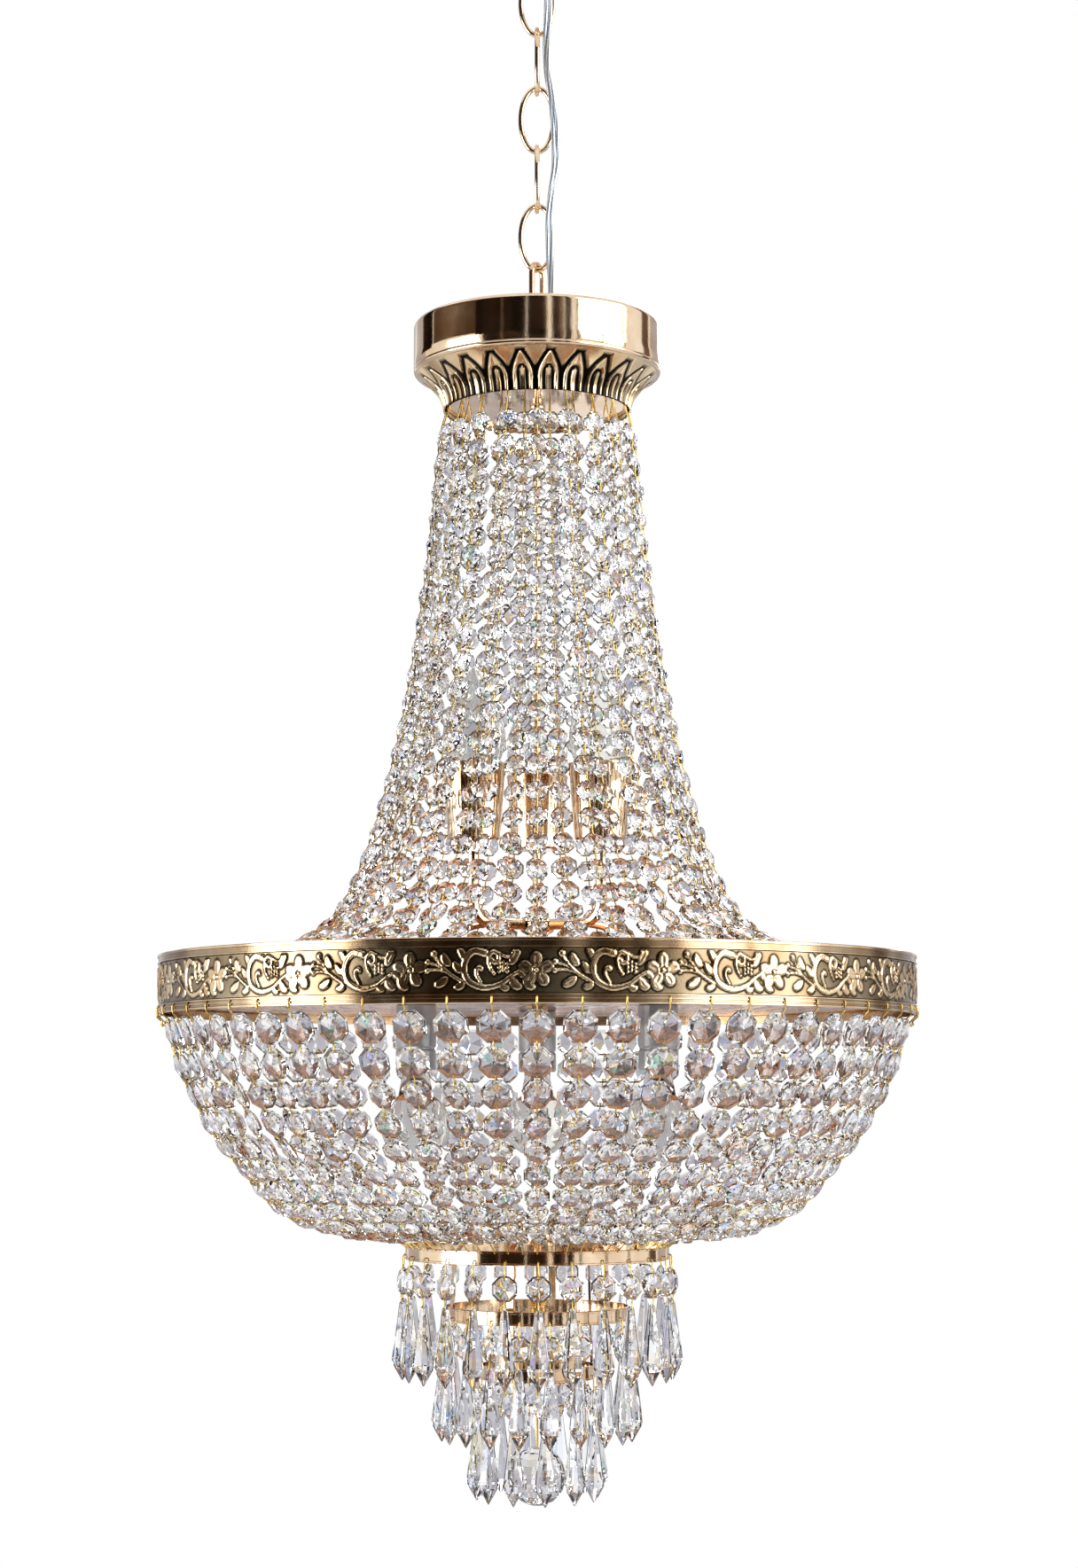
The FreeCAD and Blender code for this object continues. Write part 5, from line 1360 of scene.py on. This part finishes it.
    def stays(self) -> None:
        """The three curved stays from the hub to the plate."""
        hub = HUB_TOP - 5.0
        line = [(10.0, 0, hub), (48.0, 0, hub + 3.0), (112.0, 0, hub - 26.0), (116.0, 0, PLATE_FOOT + 1.0)]
        stays = Bench.copies(Bench.bar("stay", line, 2.5, bend=13.0), 3, 30.0)
        Bench.dressed(Bench.joined("ring_stays_bent", stays), Finish.RING_GOLD, "ring_stays")


# ---------------------------------------------------------------- tiers


@dataclass
class Tiers:
    """The three polished bands, their straps, the boss on the rod and the eye for the ball."""

    count: int = 3
    wall: float = 1.5

    def build(self) -> None:
        """Make and dress the tiers."""
        for number in range(1, self.count + 1):
            node = "tier_ring_%d" % number
            radius, top, foot = radius_of(node), top_of(node), foot_of(node)
            outline = [
                (radius - self.wall, foot), (radius - 0.4, foot), (radius, foot + 0.5), (radius, foot + 1.2),
                (radius - 0.3, foot + 1.5), (radius - 0.3, top - 1.5), (radius, top - 1.2), (radius, top - 0.5),
                (radius - 0.4, top), (radius - self.wall, top),
            ]
            Bench.turned("tier_band_%d" % number, node, outline)
        dress_nodes(Finish.GOLD, "tier_straps", "tail_hub")
        dress_nodes(Finish.BRASS, "ball_eye", "ball_wire")


# ---------------------------------------------------------------- crystals


def solids_of(node: str) -> list[Array]:
    """Merge a copy of a node's mesh and split it into its solids.

    Args:
        node: The frame's node.

    Returns:
        One array of corners, in metres, for each solid.
    """
    mesh = bmesh.new()
    mesh.from_mesh(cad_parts[node].data)
    bmesh.ops.remove_doubles(mesh, verts=mesh.verts, dist=1e-6)
    mesh.verts.ensure_lookup_table()
    seen = [False] * len(mesh.verts)
    solids = []
    for start in mesh.verts:
        if seen[start.index]:
            continue
        seen[start.index] = True
        queue, found = [start], []
        while queue:
            vertex = queue.pop()
            found.append(tuple(vertex.co))
            for edge in vertex.link_edges:
                other = edge.other_vert(vertex)
                if not seen[other.index]:
                    seen[other.index] = True
                    queue.append(other)
        solids.append(np.array(found))
    mesh.free()
    return solids


@dataclass
class Template:
    """A small modelled shape, ready to be set many times."""

    corners: Array
    faces: list[tuple[int, ...]]

    @staticmethod
    def of(obj: Object) -> "Template":
        """Take an object's shape and remove the object.

        Args:
            obj: The object.

        Returns:
            Its shape.
        """
        corners = np.array([vertex.co for vertex in obj.data.vertices], float)
        faces = [tuple(polygon.vertices) for polygon in obj.data.polygons]
        bpy.data.objects.remove(obj)
        return Template(corners, faces)


class Cluster:
    """Many placed shapes gathered in one mesh, with painted light on each facet: painted glints, painted
    reflections and painted shade.
    """

    # Each facet colour's linear colour and its weight in the draw. White is the clear crystal; the pale
    # blue-greys and the grey are painted shade, the cream is a painted reflection of the gold, and the five
    # strong colours are painted dispersion glints.
    PAINTED_FACET_LIGHT = (
        ((1.0, 1.0, 1.0), 520), ((0.93, 0.94, 0.99), 210), ((0.80, 0.81, 0.88), 90), ((0.42, 0.42, 0.48), 35),
        ((1.0, 0.91, 0.76), 100), ((0.38, 0.58, 1.0), 10), ((1.0, 0.46, 0.28), 9), ((0.45, 1.0, 0.76), 7),
        ((1.0, 0.82, 0.30), 13), ((0.78, 0.60, 1.0), 6),
    )

    def __init__(self, name: str) -> None:
        """Start an empty cluster.

        Args:
            name: The name of the object that it will be.
        """
        self.name = name
        self.corners: list[Array] = []
        self.faces: list[tuple[int, ...]] = []
        self.total = 0

    def put(self, template: Template, matrix: Array) -> None:
        """Set one copy of a template.

        Args:
            template: The shape.
            matrix: A 4 by 4 placement in metres.
        """
        flip = np.linalg.det(matrix[:3, :3]) < 0
        self.corners.append(template.corners @ matrix[:3, :3].T + matrix[:3, 3])
        for face in template.faces:
            self.faces.append(tuple(index + self.total for index in (reversed(face) if flip else face)))
        self.total += len(template.corners)

    def make(self, seed: int | None = None) -> Object:
        """Build the object.

        Args:
            seed: The seed of the facets' painted light, or None for none.

        Returns:
            The object.
        """
        data = bpy.data.meshes.new(self.name)
        data.from_pydata(np.concatenate(self.corners).tolist(), [], self.faces)
        data.update()
        # Each facet gets one colour of painted light: a painted glint, a painted reflection or painted shade.
        if seed is not None:
            weights = np.array([weight for _, weight in self.PAINTED_FACET_LIGHT], float)
            chance = np.random.default_rng(seed)
            picks = chance.choice(len(self.PAINTED_FACET_LIGHT), size=len(data.polygons), p=weights / weights.sum())
            colours = np.ones((len(data.loops), 4), np.float32)
            for polygon, pick in zip(data.polygons, picks):
                colours[polygon.loop_start : polygon.loop_start + polygon.loop_total, :3] = self.PAINTED_FACET_LIGHT[pick][0]
            layer = data.color_attributes.new("painted_facet_light", "FLOAT_COLOR", "CORNER")
            layer.data.foreach_set("color", colours.ravel())
        return placed(self.name, data)


def frame_matrix(across: Array, out: Array, along: Array, place: Array) -> Array:
    """A placement from three axes and a point.

    Args:
        across: Where the shape's X goes.
        out: Where its Y goes.
        along: Where its Z goes.
        place: Where its origin goes.

    Returns:
        The 4 by 4 matrix.
    """
    matrix = np.eye(4)
    matrix[:3] = np.stack([across, out, along, place], axis=1)
    return matrix


def outward(point: Array) -> Array:
    """The level direction from the axis to a point, of length one."""
    return np.array([point[0], point[1], 0.0]) / max(np.linalg.norm(point[:2]), 1e-9)


@dataclass
class Crystals:
    """Octagons, spear drops and the ball, set where the frame's plain solids are."""

    slack_turn: float = 24.0
    tight_turn: float = 5.0
    tight_radius: float = 0.228
    ball_radius: float = 18.9
    girdle: float = 0.09
    bevel: float = 0.105
    point: float = 0.11
    table: float = 0.74
    turn_seed: int = 40
    # Seeds of the painted glints, painted reflections and painted shade on the facets: of the beads and drops,
    # then of the ball.
    painted_light_seed: int = 3
    ball_seed: int = 7

    def octagon(self) -> Template:
        """Cut one octagon of one metre across its flats, with its flat side along Y.

        Returns:
            The cut shape.
        """
        Bench.clear()
        bpy.ops.mesh.primitive_cylinder_add(
            vertices=8, radius=0.5 / math.cos(math.pi / 8), depth=self.girdle, rotation=(math.pi / 2, 0, 0)
        )
        bead = bpy.context.object
        bpy.ops.object.transform_apply(rotation=True)
        Bench.moved(bead, turned_by(22.5, "Y"))
        with Bench.editing(bead):
            for side in (-1, 1):
                mesh = bmesh.from_edit_mesh(bead.data)
                bpy.ops.mesh.select_all(action="DESELECT")
                mesh.faces.ensure_lookup_table()
                for face in mesh.faces:
                    face.select = face.normal.y * side > 0.9
                bmesh.update_edit_mesh(bead.data)
                bpy.ops.mesh.extrude_region()
                bpy.ops.transform.translate(value=(0, side * self.bevel, 0))
                bpy.ops.transform.resize(value=(self.table, 1, self.table))
                bpy.ops.mesh.extrude_region()
                bpy.ops.transform.translate(value=(0, side * self.point, 0))
                bpy.ops.mesh.merge(type="CENTER")
            bpy.ops.mesh.select_all(action="SELECT")
            bpy.ops.mesh.remove_doubles(threshold=1e-4)
            bpy.ops.mesh.normals_make_consistent(inside=False)
        return Template.of(bead)

    def spear(self) -> Template:
        """Cut one spear drop hung from the origin.

        Returns:
            The cut shape.
        """
        rows = ((0.0, 1.3), (-2.0, 2.3), (-9.0, 3.2), (-31.0, 6.3), (-37.7, 7.0), (-40.6, 6.2), (-50.9, 0.35))
        Bench.clear()
        bpy.ops.mesh.primitive_circle_add(vertices=8, radius=rows[0][1] * MM, fill_type="NGON")
        drop = bpy.context.object
        with Bench.editing(drop):
            for (top, wide), (foot, narrow) in zip(rows, rows[1:]):
                bpy.ops.mesh.extrude_region()
                bpy.ops.transform.translate(value=(0, 0, (foot - top) * MM))
                bpy.ops.transform.resize(value=(narrow / wide, narrow / wide, 1))
            bpy.ops.mesh.select_all(action="SELECT")
            bpy.ops.mesh.normals_make_consistent(inside=False)
        return Template.of(drop)

    def place_bead(self, solid: Array, turn: float) -> Array:
        """Work out where a frame bead stands.

        Args:
            solid: Its ten corners.
            turn: How it hangs turned about its strand, from -1 to 1.

        Returns:
            The placement, scaled to its width.
        """
        eighth = math.pi / 8
        centre = solid.mean(axis=0)
        order = np.argsort(np.linalg.norm(solid - centre, axis=1))
        out = solid[order[0]] - solid[order[1]]
        thickness = np.linalg.norm(out)
        out = out / thickness
        rim = solid[order[2:]] - centre
        width = 2 * np.linalg.norm(rim, axis=1).mean() * math.cos(eighth)
        level = outward(centre)
        tangent = np.array([-level[1], level[0], 0.0])
        first = rim[0] / np.linalg.norm(rim[0])
        second = np.cross(out, first)
        ways = [math.cos(a) * first + math.sin(a) * second for a in (eighth + 2 * eighth * k for k in range(4))]
        best = min(ways, key=lambda way: abs(way @ tangent))
        if out @ level < 0:
            out = -out
        loose = self.tight_turn if np.linalg.norm(centre[:2]) > self.tight_radius else self.slack_turn
        angle = math.radians(turn * loose)
        out = math.cos(angle) * out + math.sin(angle) * np.cross(best, out)
        depth = self.girdle + 2 * (self.bevel + self.point)
        return frame_matrix(np.cross(out, best) * width, out * thickness / depth, best * width, centre)

    def build(self) -> None:
        """Set every crystal, one piece for each node."""
        octagon, spear = self.octagon(), self.spear()
        tiers = ["tier_%d_crystals" % number for number in (1, 2, 3)]
        for number, node in enumerate(["upper_crystals_outer", "upper_crystals_inner", "bowl_crystals", *tiers]):
            cluster = Cluster("cut_" + node)
            chance = np.random.default_rng(number + self.turn_seed)
            for solid in solids_of(node):
                if len(solid) == 10:
                    cluster.put(octagon, self.place_bead(solid, chance.uniform(-1, 1)))
                else:
                    top = solid[np.argmax(solid[:, 2])]
                    out = outward(top)
                    across = np.array([-out[1], out[0], 0.0])
                    cluster.put(spear, frame_matrix(across, out, np.array([0.0, 0.0, 1.0]), top))
            # Each facet gets painted light for its colour: painted glints, painted reflections and painted shade.
            Bench.dressed(cluster.make(number + self.painted_light_seed), Finish.CRYSTAL, node, smooth=None)
        self.ball()

    def ball(self) -> None:
        """The faceted ball at the bottom."""
        Bench.clear()
        bpy.ops.mesh.primitive_uv_sphere_add(segments=14, ring_count=11, radius=self.ball_radius * MM)
        cluster = Cluster("cut_ball")
        place = np.array([0.0, 0.0, BALL_CENTRE * MM])
        cluster.put(Template.of(bpy.context.object), frame_matrix(*np.eye(3), place))
        # The ball's facets get painted light too: painted glints, painted reflections and painted shade.
        Bench.dressed(cluster.make(self.ball_seed), Finish.CRYSTAL, "crystal_ball", body="ball", smooth=None)


@dataclass
class Pins:
    """Bent brass pins between the crystals."""

    radius: float = 0.5
    hook_radius: float = 0.6
    ring_inside: float = 0.244
    sides: int = 5
    long_half: float = 3.5
    hook_length: float = 7.0
    over: float = 2.6
    hole: float = 3.1
    bowl_tilt: float = 0.55

    def wire(self, points: Sequence[Array], radius: float) -> Template:
        """A thin wire along points.

        Args:
            points: Its line, in metres.
            radius: Its radius in millimetres.

        Returns:
            The wire as a closed shape.
        """
        corners, faces = [], []
        for number, point in enumerate(points):
            along = points[min(number + 1, len(points) - 1)] - points[max(number - 1, 0)]
            along = along / max(np.linalg.norm(along), 1e-9)
            helper = np.array([0.0, 0.0, 1.0]) if abs(along[2]) < 0.9 else np.array([1.0, 0.0, 0.0])
            side = np.cross(along, helper)
            side /= np.linalg.norm(side)
            up = np.cross(side, along)
            for angle in (math.tau * k / self.sides for k in range(self.sides)):
                corners.append(point + (side * math.cos(angle) + up * math.sin(angle)) * radius * MM)
        last = (len(points) - 1) * self.sides
        for row in range(0, last, self.sides):
            for k in range(self.sides):
                after = (k + 1) % self.sides
                faces.append((row + k, row + after, row + self.sides + after, row + self.sides + k))
        faces.append(tuple(reversed(range(self.sides))))
        faces.append(tuple(last + k for k in range(self.sides)))
        return Template(np.array(corners), faces)

    def build(self) -> None:
        """Make the pins of each group."""
        for node in ("upper_strand_pins", "bowl_strand_pins", "tier_pins"):
            bowl = node == "bowl_strand_pins"
            cluster = Cluster("bent_" + node)
            for solid in solids_of(node):
                out = np.linalg.norm(solid[:, :2].mean(axis=0))
                if node == "tier_pins":
                    wire = self.tier_wire(solid)
                elif bowl and out > self.ring_inside and solid[:, 2].max() > (RING_FOOT - 2.0) * MM:
                    wire = self.ring_hook(solid)
                else:
                    wire = self.pin(solid, bowl)
                cluster.put(wire, np.eye(4))
            Bench.dressed(cluster.make(), Finish.BRASS, node, smooth=80.0)

    def upright(self, way: Array, line: Outline) -> list[Array]:
        """Stand a flat line of (out, height), in millimetres, in a plane through the axis."""
        return [(way * out + np.array([0.0, 0.0, height])) * MM for out, height in line]

    def ring_hook(self, solid: Array) -> Template:
        """A bowl strand's thick hook: through the ring's hole, down its front and into the first crystal.

        Args:
            solid: The frame pin's corners.

        Returns:
            The bent wire.
        """
        foot = solid[np.argmin(solid[:, 2])] / MM
        out, height = np.linalg.norm(foot[:2]), foot[2]
        front = raised(
            RING_FOOT, (247.0, 4.0), (248.6, 4.3), (249.3, 3.6), (249.35, 2.0), (249.2, 0.2), (248.9, -1.4)
        )
        end = [(out + 1.2, height), (out + 1.6, height - 2.2), (out, height - 3.4)]
        return self.wire(self.upright(outward(solid.mean(axis=0)), front + end), self.hook_radius)

    def tier_wire(self, solid: Array) -> Template:
        """A tier's hook through its band's hole, or the wire between an octagon and its drop.

        Args:
            solid: The frame pin's corners.

        Returns:
            The bent wire.
        """
        top, foot = solid[:, 2].max() / MM, solid[:, 2].min() / MM
        centre = solid[solid[:, 2] < foot * MM + 1e-4].mean(axis=0)
        out = np.linalg.norm(centre[:2]) / MM
        if top - foot > self.hook_length:
            line = raised(top, (-3.4, -1.8), (-2.6, -0.5), (-0.7, -0.4), (0.1, -1.5))
            line += raised(foot, (0.1, 2.0), (0.8, -0.4), (1.7, -2.4), (0.0, -3.2))
        else:
            line = raised(top, (0.0, 3.2), (1.7, 2.4), (0.9, 0.3))
            line += raised(foot, (0.9, 0.0), (1.6, -1.6), (0.0, -2.4))
        return self.wire(self.upright(outward(centre), [(out + a, b) for a, b in line]), self.radius)

    def pin(self, solid: Array, bowl: bool) -> Template:
        """One pin: through each crystal's hole from behind, and across the front between them.

        Args:
            solid: The frame pin's corners.
            bowl: Whether it belongs to the bowl, whose front faces outwards and down.

        Returns:
            The bent wire.
        """
        centre = solid.mean(axis=0)
        _, _, axes = np.linalg.svd(solid - centre)
        along = axes[0] if axes[0][2] < 0 else -axes[0]
        reach = (solid - centre) @ along / MM
        half = (reach.max() - reach.min()) / 2
        front = outward(centre) - np.array([0.0, 0.0, self.bowl_tilt if bowl else 0.0])
        out = front - (front @ along) * along
        out /= max(np.linalg.norm(out), 1e-9)
        over, hole = half + self.over, half + self.hole
        if half > self.long_half:
            line = [(-half, 0.0), (2.0 - half, 0.0), (0.0, 0.6), (half, 1.6), (over, 2.5), (hole, 0.0)]
        else:
            near = half + 0.8
            line = [(-hole, -0.4), (-over, 2.3), (-near, 2.0), (0.0, 1.3), (near, 2.0), (over, 2.3), (hole, -0.4)]
        return self.wire([centre + (along * a + out * b) * MM for a, b in line], self.radius)


# ---------------------------------------------------------------- build


def main() -> None:
    """Build every sub-assembly in order, and note the sizes."""
    logging.basicConfig(level=logging.INFO, format="%(message)s")
    for assembly in (
        Studio(), FlexCord(), CeilingFitting(), Chain(), Crown(), Stem(), Lamps(), MainRing(), Tiers(),
        Crystals(), Pins(),
    ):
        assembly.build()
        LOG.info("%s built", type(assembly).__name__)


if __name__ == "__main__":
    main()
